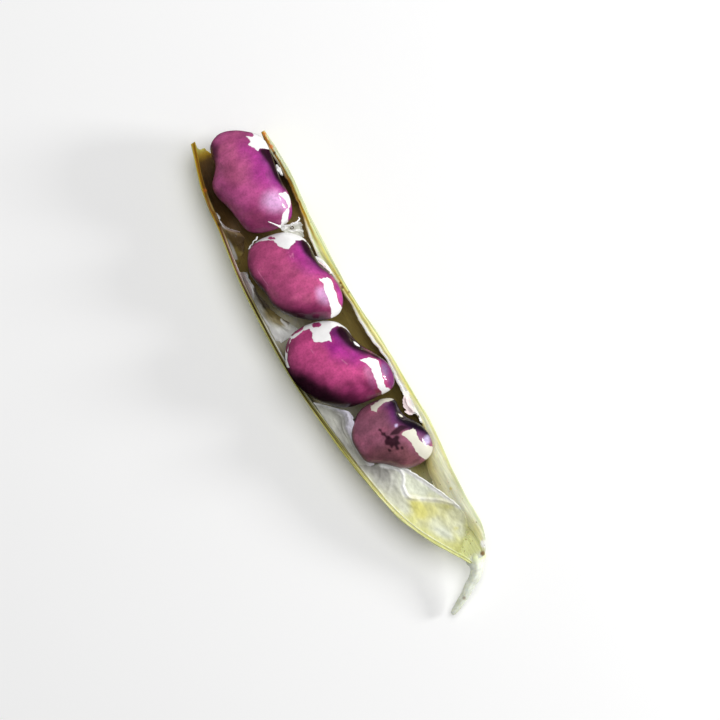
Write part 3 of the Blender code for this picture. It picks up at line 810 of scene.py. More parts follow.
# The colours across each seam, as (x, ((share across, colour), ...)). The front seam's shares start
# inside the pod, and the back seam's outside.
FRONT_COLOURS = [
    (-42, ((0, "nose_green"), (0.4, "rim_cream"), (0.85, "band_grey"))),
    (-38, ((0, "nose_green"), (0.5, "band_pale"), (0.75, "rim_cream"), (0.9, "band_grey"))),
    (-34, ((0, "wall_cream"), (0.5, "rim_cream"), (0.8, "rim_cream"), (0.93, "band_grey"))),
    (-26, ((0, "wall_olive"), (0.2, "wall_pale"), (0.5, "wall_cream"), (0.8, "rim_cream"),
     (0.9, "band_pale"), (0.97, "band_green"))),
    (-20, ((0, "wall_olive"), (0.2, "wall_pale"), (0.4, "rim_cream"), (0.7, "rim_cream"),
     (0.85, "band_pale"), (1, "band_green"))),
    (-14.5, ((0, "band_white"), (0.4, "band_white"), (0.6, "band_pale"), (0.75, "band_yellow"),
     (0.88, "band_green"), (1, "band_green"))),
    (-8, ((0, "band_white"), (0.25, "band_white"), (0.45, "band_pale"), (0.8, "band_pale"),
     (0.9, "band_green"), (1, "band_grey"))),
    (-2.5, ((0, "band_white"), (0.26, "band_white"), (0.42, "band_pale"), (0.6, "band_yellow"),
     (0.72, "band_pale"), (0.88, "band_green"), (1, "band_grey"))),
    (3, ((0, "wall_olive"), (0.2, "wall_olive"), (0.32, "band_pale"), (0.5, "band_yellow"),
     (0.66, "band_yellow"), (0.8, "band_green"), (1, "band_grey"))),
    (6, ((0, "band_white"), (0.16, "band_white"), (0.3, "band_pale"), (0.6, "band_yellow"),
     (0.75, "band_green"), (1, "band_grey"))),
    (10, ((0, "band_white"), (0.3, "band_green"), (0.5, "band_pale"), (0.66, "band_yellow"),
     (0.82, "band_green"), (1, "band_grey"))),
    (13, ((0, "wall_olive"), (0.14, "band_white"), (0.3, "band_green"), (0.48, "band_ochre"),
     (0.68, "band_green"), (1, "band_grey"))),
    (16, ((0, "wall_tan"), (0.14, "wall_tan"), (0.28, "band_ochre"), (0.44, "band_ochre"),
     (0.56, "band_yellow"), (0.68, "band_green"), (1, "band_grey"))),
    (21.5, ((0, "band_brown"), (0.3, "band_brown"), (0.42, "band_ochre"), (0.5, "band_green"),
     (1, "band_grey"))),
    (26, ((0, "band_grey"), (0.2, "band_grey"), (0.32, "band_brown"), (0.45, "band_ochre"),
     (0.6, "band_grey"), (1, "band_grey"))),
    (28, ((0, "groove"), (0.3, "band_brown"), (0.5, "band_orange"), (0.75, "band_grey"), (1, "band_grey"))),
    (31, ((0, "groove"), (0.35, "band_ochre"), (0.6, "band_orange"), (0.8, "band_yellow"))),
]
BACK_COLOURS = [
    (-42, ((0, "nose_yellow"), (0.3, "nose_green"))),
    (-36, ((0, "band_green"), (0.3, "nose_yellow"), (0.7, "nose_yellow"), (1, "rim_cream"))),
    (-28, ((0, "band_green"), (0.3, "band_pale"), (0.7, "band_pale"), (1, "rim_cream"))),
    (-22, ((0, "band_olive"), (0.3, "band_olive"), (0.5, "band_pale"), (0.7, "band_pale"), (0.86, "groove"),
     (1, "wall_olive"))),
    (-12, ((0, "band_green"), (0.18, "band_yellow"), (0.28, "groove"), (0.38, "groove"),
     (0.52, "band_olive"), (0.8, "band_olive"), (1, "wall_grey"))),
    (0, ((0, "band_green"), (0.2, "band_olive"), (0.34, "groove"), (0.48, "groove"), (0.62, "band_olive"),
     (0.8, "band_white"), (1, "band_white"))),
    (8, ((0, "band_green"), (0.25, "band_olive"), (0.4, "groove"), (0.6, "groove"), (0.78, "band_olive"),
     (1, "wall_brown"))),
    (14, ((0, "band_green"), (0.22, "band_yellow"), (0.36, "groove"), (0.5, "band_brown"),
     (0.7, "film_pink"), (0.9, "film_pink"), (1, "wall_tan"))),
    (18, ((0, "band_green"), (0.2, "band_yellow"), (0.36, "groove"), (0.55, "band_rust"),
     (0.75, "film_pink"), (0.9, "wall_tan"), (1, "wall_brown"))),
    (21, ((0, "band_yellow"), (0.25, "band_ochre"), (0.45, "band_rust"), (0.7, "band_rust"),
     (1, "wall_brown"))),
    (24, ((0, "band_rust"), (0.5, "band_rust"), (0.75, "wall_tan"), (1, "wall_brown"))),
    (27, ((0, "band_yellow"), (0.25, "band_ochre"), (0.5, "band_brown"), (1, "wall_brown"))),
    (33, ((0, "band_yellow"), (0.3, "band_ochre"), (0.6, "band_brown"), (0.9, "band_ochre"))),
]


# The inside's colours along its front and its back wall. Beside the tip bean both walls turn dark brown,
# partly their own colour and partly painted shade.
FRONT_WALL_COLOURS = [
    (-42, "stalk"), (-40.8, "nose_green"), (-38.5, "nose_green"), (-35.5, "wall_cream"),
    (-29, "wall_cream"), (-26.5, "wall_pale"), (-24.5, "wall_olive"), (2, "wall_olive"), (8, "wall_tan"),
    (15, "wall_tan"), (18, "wall_olive"), (23, "wall_dark"), (26, "wall_dark"), (31, "wall_brown")]
BACK_WALL_COLOURS = [
    (-42, "stalk"), (-40.8, "nose_green"), (-38.5, "nose_green"), (-35.5, "wall_cream"),
    (-26, "wall_cream"), (-20, "wall_grey"), (3, "wall_grey"), (11, "wall_olive"), (20, "wall_brown"),
    (28, "wall_dark"), (30.6, "wall_brown"), (31.6, "band_ochre"), (32.6, "band_yellow")]
# Small spots on the seams and the nose: the pixel, the radius in mm and the colour.
SEAM_SPOTS = [
    ((340.3, 283), 0.3, "band_brown"),
    ((342, 287), 0.34, "scar"),
    ((348.6, 292), 0.24, "scar"),
    ((264, 133), 0.35, "band_orange"),
    ((271, 146), 0.4, "band_orange"),
    ((274, 152.5), 0.34, "groove"),
    ((268.5, 141), 0.3, "band_ochre"),
    ((484.5, 544.5), 0.8, "patch_white"),
    ((483, 554), 0.5, "scar"),
    ((451, 489), 0.3, "wall_yellow"),
    ((205, 190), 0.35, "band_orange"),
    ((214, 213), 0.4, "band_brown"),
    ((219, 224), 0.45, "groove"),
]


def colours_across(table, x, share):
    """Colours between the stations of a table, by the place along the pod and across the seam."""
    stations = [station for station, _ in table]
    sheets = np.stack([colours_along(stops, share) for _, stops in table])
    place = np.interp(x, stations, np.arange(len(table)))
    i = np.minimum(place.astype(int), len(table) - 2)
    rows, columns = np.indices(x.shape)
    return mix(sheets[i, rows, columns], sheets[i + 1, rows, columns], place - i)


def make_valve():
    grid, column, face, seam = valve_grid()
    x = grid[..., 0]
    flat = grid.reshape(-1, 3)
    normals = grid_normals(grid, wrap=True)
    threads = noise(flat * (0.12, 1.1, 1.1), 11, 4).reshape(x.shape)
    dents = noise(flat * (0.25, 0.3, 0.3), 12, 2).reshape(x.shape)
    relief = np.where(face == 0, *THREAD_RELIEF) * threads + np.where(face == 0, *DENT_RELIEF) * dents
    grid = grid + normals * relief[..., None]
    grid[..., 2] = np.maximum(grid[..., 2], 0)
    low, high = (np.array(corner[:2]) / MM for corner in cad_box)
    grid[..., :2] = np.clip(grid[..., :2], low, high)

    outside = painted(linear("outside"), "outside_pale", smoothstep(-0.4, 0.6, dents))
    outside = painted(outside, "nose_green", 0.7 * smoothstep(-33, -40, x))
    outside = painted(outside, "band_green", 0.85 * smoothstep(0.8, 0.97, column))
    outside = painted(outside, "band_grey", 0.85 * smoothstep(-0.8, -0.97, column))
    inside = mix(colours_along(FRONT_WALL_COLOURS, x), colours_along(BACK_WALL_COLOURS, x),
                 smoothstep(-0.2, 0.2, column))
    blotch = smoothstep(0.25, 0.7, noise(flat * (0.3, 0.45, 0.45), 15, 3).reshape(x.shape))
    blotch = blotch * smoothstep(-24, -29, x) * smoothstep(-39, -36, x)
    inside = painted(inside, "wall_yellow", 0.7 * blotch)
    stripe = np.exp(-((column - GROOVE_COLUMN) / GROOVE_WIDTH) ** 2)
    stripe = stripe * smoothstep(-30, -24, x) * smoothstep(2, -6, x)
    inside = painted(inside, "groove", 0.75 * stripe)
    seams = np.where((column > 0)[..., None], colours_across(BACK_COLOURS, x, seam),
                     colours_across(FRONT_COLOURS, x, seam))
    tint = np.where((face == 0)[..., None], outside, np.where((face == 1)[..., None], inside, seams))
    for pixel, size, colour in SEAM_SPOTS:
        off = np.linalg.norm(grid[..., :2] - on_part(pixel), axis=-1)
        tint = painted(tint, colour, 0.85 * smoothstep(size, 0.45 * size, off) * (face > 0))
    thready = 0.12 - 0.09 * smoothstep(-18, -24, x) * (face > 0)
    tint = tint * (1 + thready * threads)[..., None]

    rows, columns = x.shape
    faces = grid_faces(rows, columns).tolist()
    for row in (0, rows - 1):
        faces += end_faces(row * columns, row == 0)
    piece = new_piece("pod_valve_dressed", grid.reshape(-1, 3), faces, pod_finish("pod_wall"),
                      tint.reshape(-1, 3))
    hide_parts("pod_valve")


def end_faces(first, start):
    """Closes an end of the valve's wall, between its outside and its inside."""
    outer = [first + i for i in range(COLUMNS + 1)]
    back = [outer[-1] + 1 + i for i in range(BACK_BAND_POINTS)]
    inner = [back[-1] + 1 + i for i in range(COLUMNS + 1)]
    front = [inner[-1] + 1 + i for i in range(FRONT_BAND_POINTS)]
    facing = inner[::-1]
    faces = [(outer[i], outer[i + 1], facing[i + 1], facing[i]) for i in range(COLUMNS)]
    faces += [(outer[-1], *back, inner[0]), (inner[-1], *front, outer[0])]
    return [face[::-1] for face in faces] if start else faces


def unit_sphere():
    """Directions spread evenly over a sphere, and the faces between them."""
    ball = bmesh.new()
    bmesh.ops.create_icosphere(ball, subdivisions=BEAN_DIVISIONS, radius=1.0)
    points = np.array([v.co for v in ball.verts])
    faces = np.array([[v.index for v in f.verts] for f in ball.faces])
    ball.free()
    return unit(points), faces


def bean_surface(name, directions):
    """The bean's points, and where each lies on its skin laid flat from above."""
    low, high = (np.array(corner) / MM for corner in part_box(name))
    middle = np.array([*BEAN_CENTRES[name], (low[2] + high[2]) / 2])
    half_thick = (high[2] - low[2]) / 2
    outline = closed_curve(on_part(BEAN_OUTLINES[name])) - middle[:2]
    turn = np.arctan2(outline[:, 1], outline[:, 0])
    order = np.argsort(turn)
    reach = np.hypot(outline[:, 0], outline[:, 1])[order]
    angle = np.arctan2(directions[:, 1], directions[:, 0])
    edge = np.interp(angle, turn[order], reach, period=2 * math.pi)
    flat = np.hypot(directions[:, 0], directions[:, 1])
    radius = reach.mean() + (edge - reach.mean()) * smoothstep(*BEAN_DOME, flat)
    local = np.stack([radius * directions[:, 0], radius * directions[:, 1],
                      half_thick * directions[:, 2]], -1)
    skin = local[:, :2].copy()
    below = directions[:, 2] < 0
    outward = np.stack([np.cos(angle), np.sin(angle)], -1)
    skin[below] = (outward * (edge - local[:, 2])[:, None])[below]
    return local + middle, skin + middle[:2]


def hilum_place(name, skin):
    """How far out from the middle of its scar each point of a bean's skin is; 1 is the scar's edge."""
    pixel, degrees, (half_long, half_wide) = HILA[name]
    turn = math.radians(degrees)
    offset = skin - on_part(pixel)
    ahead = on_part((pixel[0] + math.cos(turn), pixel[1] + math.sin(turn)))
    ahead = (ahead - on_part(pixel)) / PIXEL_MM
    aside = offset[:, 1] * ahead[0] - offset[:, 0] * ahead[1]
    return np.hypot(offset @ ahead / half_long, aside / half_wide)


def make_bean(name, sphere, seed):
    directions, faces = sphere
    points, skin = bean_surface(name, directions)
    lumps = noise(points * 0.35, seed, 2)
    creases = noise(points * 1.1, seed + 5, 3)
    sink = BEAN_SINK + BEAN_LUMPS * lumps + BEAN_CREASES * creases
    points = points - directions * sink[:, None]

    white = np.full(len(points), FAR_OUTSIDE)
    for outline in WHITE_PATCHES[name]:
        white = np.maximum(white, inside_distance(skin, on_part(outline)))
    for outline in ISLANDS[name]:
        white = np.minimum(white, -inside_distance(skin, on_part(outline)))
    under = smoothstep(0.0, -0.4, directions[:, 2])
    below = (noise(points * 0.22, seed + 9, 3) - 0.35) * under * 2 + (1 - under) * FAR_OUTSIDE
    white = np.maximum(white, below)

    cloud = noise(points * 0.3, seed + 1, 3)
    base, dusk, painted_shade_width, patch, slot = BEAN_SKINS[name]
    tint = np.broadcast_to(linear(base), points.shape)
    tint = painted(tint, dusk, 0.4 * smoothstep(0.0, 0.9, cloud))
    rose = smoothstep(0.1, 0.9, noise(points * (0.5, 0.25, 0.5), seed + 2, 4))
    tint = painted(tint, "dusty_rose", 0.35 * rose)
    # Painted shade: the skin darkens towards black maroon low on its sides, most on the side away from the
    # light.
    facing = directions[:, :2] @ unit(on_part(PAINTED_SHADE_SIDE) - on_part((0, 0)))
    level = directions[:, 2] + 0.06 * cloud
    edge = smoothstep((0.42 + 0.24 * facing) * painted_shade_width, -0.05 + 0.1 * facing * painted_shade_width, level)
    tint = painted(tint, "black_maroon", (0.72 + 0.2 * facing) * edge)
    tint = shaded(tint, skin, SHADES[name], SHADE_WOBBLE * cloud)
    if name in HILA:
        scar = hilum_place(name, skin)
        tint = painted(tint, "black_maroon", 0.9 * smoothstep(2.4, 1.3, scar))
        white = np.maximum(white, 0.25 * (1 - scar))
        points = points - directions * (SCAR_GROOVE * np.exp(-((scar - 1.6) / 0.5) ** 2))[:, None]
    piece = new_piece(name + "_dressed", points, faces, bean_finish(name + "_skin", patch), tint,
                      {"white": white})
    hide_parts(name)


# The stalk's middle line as (pixel, z, radius, how tall for its width). It starts inside the nose.
STALK = [
    ((474.5, 549), 3.3, 1.3, 0.6),
    ((475.5, 554.5), 3.3, 1.45, 0.66),
    ((475.5, 559.5), 3.3, 1.46, 0.72),
    ((476.8, 564.8), 3.3, 1.14, 0.85),
    ((476.9, 570), 3.15, 0.92, 1),
    ((475, 576), 2.95, 0.83, 1),
    ((470.8, 584), 2.55, 0.76, 1),
    ((466.6, 592), 2.15, 0.7, 1),
    ((462.3, 599.5), 1.75, 0.63, 1),
    ((457.9, 606), 1.45, 0.54, 1),
    ((454.6, 610.8), 1.25, 0.44, 1),
    ((453, 613), 1.15, 0.32, 1),
    ((452.3, 614), 1.1, 0.16, 1),
]
STALK_RINGS = 110
STALK_SIDES = 48
STALK_SPOT = (464.8, 599.6)


def line_sides(centre):
    """The ways along a line of points and level across it."""
    along = unit(np.gradient(centre, axis=0))
    return along, unit(np.cross(along, (0, 0, 1)))


def make_stalk():
    points = [(*on_part(pixel, z), z, radius, tall) for pixel, z, radius, tall in STALK]
    line = open_curve(points, STALK_RINGS)
    centre, radius, tall = line[:, :3], line[:, 3:4], line[:, 4:5]
    along, side = line_sides(centre)
    up = np.cross(side, along) * tall
    turn = np.arange(STALK_SIDES) / STALK_SIDES * 2 * math.pi
    ribs = radius * (1 + 0.035 * np.sin(5 * turn + 0.4) + 0.02 * np.sin(9 * turn))
    around = np.cos(turn)[:, None] * side[:, None] + np.sin(turn)[:, None] * up[:, None]
    grid = centre[:, None] + ribs[..., None] * around
    bumps = noise(grid.reshape(-1, 3) * (0.5, 0.9, 0.9), 31, 3).reshape(grid.shape[:2])
    grid += (grid - centre[:, None]) * (0.06 * bumps)[..., None]
    grid[..., 2] = np.maximum(grid[..., 2], 0)
    place = np.broadcast_to(np.linspace(0, 1, STALK_RINGS)[:, None], bumps.shape)
    green = 0.5 * smoothstep(0.24, 0.12, place) + 0.25 * smoothstep(0.0, 0.8, bumps)
    tint = painted(np.broadcast_to(linear("stalk"), grid.shape), "stalk_green", green)
    tint = painted(tint, "nose_green", 0.7 * smoothstep(0.15, 0.04, place))
    spot = np.linalg.norm(grid[..., :2] - on_part(STALK_SPOT), axis=-1)
    tint = painted(tint, "scar", 0.6 * smoothstep(0.4, 0.1, spot))
    faces = grid_faces(STALK_RINGS, STALK_SIDES).tolist()
    ring = list(range(STALK_SIDES))
    faces += [ring[::-1], [STALK_RINGS * STALK_SIDES - STALK_SIDES + i for i in ring]]
    piece = new_piece("stalk_dressed", grid.reshape(-1, 3), faces, stalk_finish("stalk_skin"),
                      tint.reshape(-1, 3))
    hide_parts("stalk")


# The loose linings in the photograph's pixels. Each sheet runs from a free front edge to a back edge,
# both listed in the same order, and stands off the wall by its lifts, or off its given heights, which
# sink by its sag in the middle. Its cover and colours are those of its front and of its back. Its ridges
# are raised folds, as (half width, height, line), and its shades are as the beans' are. Its fade is the
# share of its length over which its far end fades out, and rough scales its ragged edge and its waves.
FILMS = {
    "lining_base": {
        "front": [(373, 465.5, 4.4), (381, 462.4, 5.1), (392, 465, 5.1), (407, 468.6, 4.7),
                  (426, 480.5, 4.3), (445, 494, 4.25), (459, 505.5, 4.45), (466.5, 519, 4.4),
                  (469, 534, 4.1)],
        "back": [(353, 465, 4.6), (367.4, 483.6, 4.75), (384, 503.2, 4.8), (403, 519.8, 4.85),
                 (418.8, 531.6, 4.8), (432.6, 540.2, 4.7), (444, 546.4, 4.6), (454.4, 550.8, 4.45),
                 (463, 553, 4.2)],
        "lifts": (0, 0), "sag": 0.4, "cover": (0.94, 0.95), "colours": ("film", "film"), "fade": 0.14,
        "rough": 0.8,
        "ridges": [
            (0.2, 0.17, [(398, 467), (404, 475.7), (403.1, 483.3), (405, 491), (409.8, 497.7),
             (416.5, 499)]),
            (0.2, 0.17, [(409, 497.5), (422, 498.6), (436, 499.6), (446, 501.5), (458, 505.5)]),
            (0.24, 0.1, [(385, 467), (390, 474), (391, 483), (388, 492)]),
            (0.24, 0.08, [(380, 466), (381, 476), (377, 484)]),
            (0.24, 0.07, [(395, 485), (400, 492), (404, 500), (412, 506)]),
            (0.2, 0.05, [(451, 528), (456, 524.5), (461, 526), (460, 530)]),
            (0.35, 0.1, [(420, 520), (434, 526), (450, 536)]),
            (0.14, 0.2, [(381, 463.5), (392, 466.5), (407, 470), (426, 481.5), (445, 495), (459, 506.5)]),
        ],
        "shades": [
            ("film_grey", 2.4, 0.9, [(356, 462), (374, 463), (392, 466), (399, 476), (394, 492),
             (380, 490)]),
            # painted shadow of the base bean on the sheet's top corner
            ("film_dim", 1.6, 0.9, [(356, 461), (374, 463), (387, 465.5), (393, 469), (391, 474),
             (384, 479), (375, 475), (366, 468)]),
            ("wall_cream", 3.0, 0.4, [(386, 494), (404, 500), (430, 530), (462, 544), (450, 552),
             (410, 526)]),
            ("film_dim", 3.0, 0.34, [(380, 484), (396, 488), (409, 503), (408, 516), (396, 512),
             (382, 498)]),
            ("film_yellow", 3.0, 0.36, [(412, 501), (440, 501), (464, 511), (470, 524), (458, 532),
             (440, 525), (424, 526), (412, 518)]),
            ("film_white", 0.4, 0.7, [(380, 462), (392, 464), (400, 468), (404, 474), (400, 472),
             (390, 467.5), (381, 465)]),
            ("film_white", 0.5, 0.8, [(396, 467), (406, 474), (405, 484), (408, 494), (420, 496.5),
             (444, 499.5), (458, 504), (446, 503.5), (418, 501), (406, 497), (401.5, 489), (401.5, 476)]),
            ("film_white", 0.4, 0.9, [(379, 461), (392, 463.5), (407, 467), (426, 479), (445, 492.5),
             (463, 507), (458, 508), (443, 497), (424, 484), (406, 473), (391, 469), (380, 467)]),
            ("film_yellow", 2.4, 0.6, [(414, 500), (434, 500.5), (452, 506), (444, 512), (432, 515),
             (424, 522), (414, 516)]),
            ("film_yellow", 1.0, 0.6, [(413, 503), (422, 504), (426, 511), (424, 518), (416, 515)]),
            ("film_yellow", 0.6, 0.6, [(454, 528), (457, 526.5), (459.5, 528), (456, 530)]),
            ("nose_yellow", 2.4, 0.9, [(456, 540), (462, 528), (474, 520), (482, 532), (480, 556),
             (462, 558), (450, 548)]),
            ("nose_yellow", 1.4, 0.8, [(384, 503), (405, 514), (421, 525), (437, 534), (462, 545),
             (462, 558), (436, 546), (404, 526), (380, 506)]),
        ],
    },
    "lining_side": {
        "front": [(341.5, 409.5, 4.9), (348.4, 411.5, 5.7), (353.6, 418, 6.5), (353.4, 427.5, 7.0),
                  (357, 437, 7.2), (362.6, 448.5, 7.0), (367, 456, 6.3), (374, 464.4, 5.0)],
        "back": [(313, 402, 4.3), (320, 412, 4.4), (327, 422, 4.5), (335, 433, 4.6), (343, 443, 4.6),
                 (349.4, 452.6, 4.6), (356, 461.4, 4.6), (363, 471.4, 4.6)],
        "lifts": (0, 0), "sag": 1.5, "cover": (0.98, 0.88), "colours": ("film_lilac", "film_grey"),
        "fade": 0, "rough": 1,
        "ridges": [
            (0.25, 0.3, [(338, 411), (345, 412), (349.4, 419), (347.4, 428), (350.4, 438), (356, 449),
             (361, 458)]),
            (0.14, 0.18, [(342, 420), (343, 428), (347, 437), (353, 450)]),
            (0.2, 0.2, [(322, 407), (332, 410), (340, 416)]),
            (0.2, 0.16, [(334, 420), (340, 430), (348, 444)]),
        ],
        "shades": [
            ("film_white", 0.35, 0.9, [(311, 399), (322, 400), (332, 404), (344, 408.5), (342, 412.5),
             (331, 409), (321, 405), (312, 404.5)]),
            ("film_lilac", 0.35, 0.95, [(336, 409), (350, 409), (357, 418), (358, 428), (361, 440),
             (368, 454), (378, 468), (364, 460), (356, 449), (350, 437), (346, 428), (346.5, 419),
             (342, 414)]),
            ("film_dim", 0.8, 0.6, [(333, 409), (341, 413.5), (345, 420), (343, 430), (347, 440),
             (353, 450), (350, 452), (342, 442), (337, 430), (339, 420)]),
        ],
    },
    "lining_middle": {
        "front": [(247, 272), (254, 287), (264, 301), (276, 314), (288, 322), (300, 331)],
        "back": [(239, 272), (246, 288), (254, 303), (262, 318), (269, 332), (277, 346)],
        "lifts": (0.8, 0.15), "sag": 0, "cover": (0.9, 0.95), "colours": ("film_grey", "film_grey"),
        "fade": 0, "rough": 1,
        "ridges": [
            (0.22, 0.4, [(241.5, 275), (246, 284), (250, 293), (252.4, 300)]),
            (0.2, 0.2, [(246, 276), (254, 291), (264, 308), (272, 322)]),
            (0.2, 0.2, [(262, 306), (274, 320), (288, 330)]),
        ],
        "shades": [
            ("film_pink", 0.5, 0.9, [(240, 272), (245.6, 276), (249.4, 284), (253, 291.7), (253.3, 298),
             (251, 302), (246, 294), (242, 284)]),
            # painted shade in the dark gaps between the lining's front edge and the second bean
            ("groove", 0.9, 0.9, [(248, 272), (256, 285), (266, 298), (278, 312), (290, 320), (286, 323),
             (274, 317), (264, 308), (257, 299), (252, 289)]),
            ("wall_olive", 0.9, 0.8, [(264, 312), (272, 310), (282, 318), (284, 325), (276, 326),
             (268, 320)]),
            # painted shade in a narrow dark hollow near the lining's back edge
            ("groove", 0.25, 0.8, [(241.5, 276), (244, 281), (246.6, 288), (247.6, 293), (245.6, 291),
             (242.6, 283)]),
            # painted shade in a slit through the lining, with its white torn edges next
            ("slit", 0.15, 0.95, [(256.6, 312), (260, 315), (264, 320.5), (267.5, 325.5), (265.5, 326),
             (261, 321), (257.5, 316)]),
            ("film_white", 0.15, 0.95, [(258.6, 311), (263, 316), (267.4, 321.5), (270.6, 326),
             (268.4, 326), (263.4, 319), (259, 314)]),
            ("film_white", 0.3, 0.9, [(251, 300), (255, 303), (260, 312), (266, 322), (268, 326),
             (262, 322), (256, 312)]),
            ("film_white", 0.2, 0.95, [(246, 274), (248.6, 277), (251.6, 283), (253.6, 290), (254, 297),
             (252.4, 300), (252, 292), (249.6, 284), (246.4, 278)]),
            ("film_white", 1.2, 0.85, [(268, 326), (276, 328), (290, 330), (300, 331), (288, 344),
             (276, 346)]),
            ("film_white", 0.3, 0.8, [(281, 319), (284, 321), (286.5, 326), (284, 325)]),
        ],
    },
    "lining_tip": {
        "front": [(219.5, 215), (222.5, 224), (230, 229), (239, 232), (243.5, 237), (245, 244)],
        "back": [(212, 210), (217.5, 222), (222.5, 233), (228, 245), (233, 256), (238, 267)],
        "lifts": (0.8, 0.12), "sag": 0, "cover": (0.85, 0.85), "colours": ("film_brown", "wall_olive"),
        "fade": 0, "rough": 1.3,
        "ridges": [
            (0.14, 0.3, [(218, 214), (221, 222), (226, 227), (233, 229.5), (241, 231.5)]),
            (0.3, 0.45, [(226, 238), (230.5, 247), (235, 258)]),
        ],
        "shades": [
            ("film_pink", 0.35, 0.9, [(216, 210), (220, 216), (223.5, 224), (230, 227.6), (237, 229.6),
             (246, 230.5), (246, 233), (236, 232.5), (228, 230.5), (221.5, 227), (218, 219)]),
            ("film_white", 0.3, 0.85, [(227, 239), (229.4, 241), (233, 248), (236.6, 258), (234.8, 258.6),
             (230.6, 249)]),
            ("film_white", 0.2, 0.9, [(214.6, 211), (217.6, 212.6), (220.6, 217), (221.4, 222),
             (224.6, 226), (231, 228), (238, 229.4), (238, 231), (230, 230), (222.6, 227.4), (219, 222),
             (217.6, 216)]),
            ("band_orange", 0.3, 0.6, [(226, 240), (229, 246), (231.5, 254), (230, 254), (226.6, 246)]),
            # painted shade in the dark gap between the lining and the tip bean
            ("wall_dark", 0.8, 0.8, [(226, 231), (238, 234), (247, 238), (247, 250), (238, 248),
             (228, 238)]),
        ],
    },
}
# Loose bits of lining on no node of their own, in the same form. Their heights are given.
SCRAPS = {
    "scrap_web": {
        "front": [(279, 224.4, 7.1), (284, 225, 7.0), (288.5, 224.4, 6.8), (294, 223.2, 6.4),
                  (299, 221.6, 6.1), (302, 226, 5.6)],
        "back": [(280.5, 230, 6.6), (285, 232, 6.5), (290, 233.6, 6.2), (295, 234.8, 5.9),
                 (300.5, 236.5, 5.5), (304, 236.5, 5.2)],
        "lifts": (0.1, 0), "sag": 0.3, "cover": (0.7, 0.6), "colours": ("film_grey", "film_grey"),
        "fade": 0, "rough": 1.4,
        "ridges": [
            (0.1, 0.12, [(280, 226), (287, 225.5), (295, 224), (299, 222)]),
            (0.1, 0.1, [(284, 230), (289, 229), (297, 231), (303, 235)]),
        ],
        "shades": [
            ("film_white", 0.2, 0.95, [(278, 223), (289, 223.4), (300, 220), (300, 223.4), (290, 226),
             (286, 229), (281, 231)]),
            ("film_white", 0.12, 0.9, [(286, 229), (292, 230.4), (299, 229), (304, 232), (298, 230.4),
             (292, 232)]),
            ("groove", 0.12, 0.95, [(290, 227.6), (291.6, 226), (293.8, 226.8), (293.4, 228.8),
             (291, 229.4)]),
            ("film_white", 0.08, 0.95, [(291.2, 227.8), (292.2, 227.2), (292.6, 228), (291.8, 228.4)]),
        ],
    },
    "scrap_second": {
        "front": [(313, 256.6, 5.6), (316.4, 260.6, 5.7), (320, 264, 5.6), (325, 268.4, 5.3),
                  (330, 273.6, 5.0)],
        "back": [(315.5, 256, 5.2), (319.6, 257.6, 5.0), (324, 261, 4.9), (329, 267, 4.9),
                 (333, 273.4, 4.85)],
        "lifts": (0.1, 0), "sag": 0, "cover": (0.9, 0.9), "colours": ("film_pink", "film_white"), "fade": 0,
        "rough": 1.8,
        "ridges": [(0.14, 0.25, [(315, 258), (320, 261), (326, 266)])],
        "shades": [("film_white", 0.3, 0.9, [(312, 256), (317, 256), (318, 261), (314, 260)])],
    },
    "scrap_base": {
        "front": [(403.6, 392, 4.7), (404, 400, 4.75), (402.6, 406.4, 4.7), (406, 411.6, 4.8),
                  (409.4, 414.6, 4.75), (411, 411.6, 4.7), (415, 412.6, 4.65), (418, 416.5, 4.6),
                  (421, 421, 4.5)],
        "back": [(407, 390, 4.6), (410, 397, 4.6), (413, 403, 4.6), (415.5, 408, 4.6), (418, 412, 4.6),
                 (419.5, 415, 4.6), (421, 418, 4.6), (422.4, 421, 4.55), (424, 424, 4.5)],
        "lifts": (0.15, 0), "sag": 0, "cover": (0.92, 0.92), "colours": ("film_white", "band_white"),
        "fade": 0, "rough": 1.8,
        "ridges": [(0.2, 0.25, [(406, 398), (408, 405), (412, 410)])],
        "shades": [("film_pink", 0.7, 0.8, [(402, 399), (407, 400), (411, 411), (408, 416), (402, 408)])],
    },
}
FILM_THICK = 0.07
FILM_GRID = (150, 90)
FILM_RAGGED = 0.16
FILM_WAVES = 0.14
FILM_END = 0.12
SAG_SPAN = (0.06, 0.94)
FILM_CLEAR = 0.08  # at least so far off the wall
FILM_WOBBLE = 0.3
CURL_POWER = 3
# A film's back edge reaches into the back seam's flesh, below its top, and may rise away from it.
RIM_OVERLAP = 0.22
RIM_DROP = 0.04
RIM_RISE = 0.5


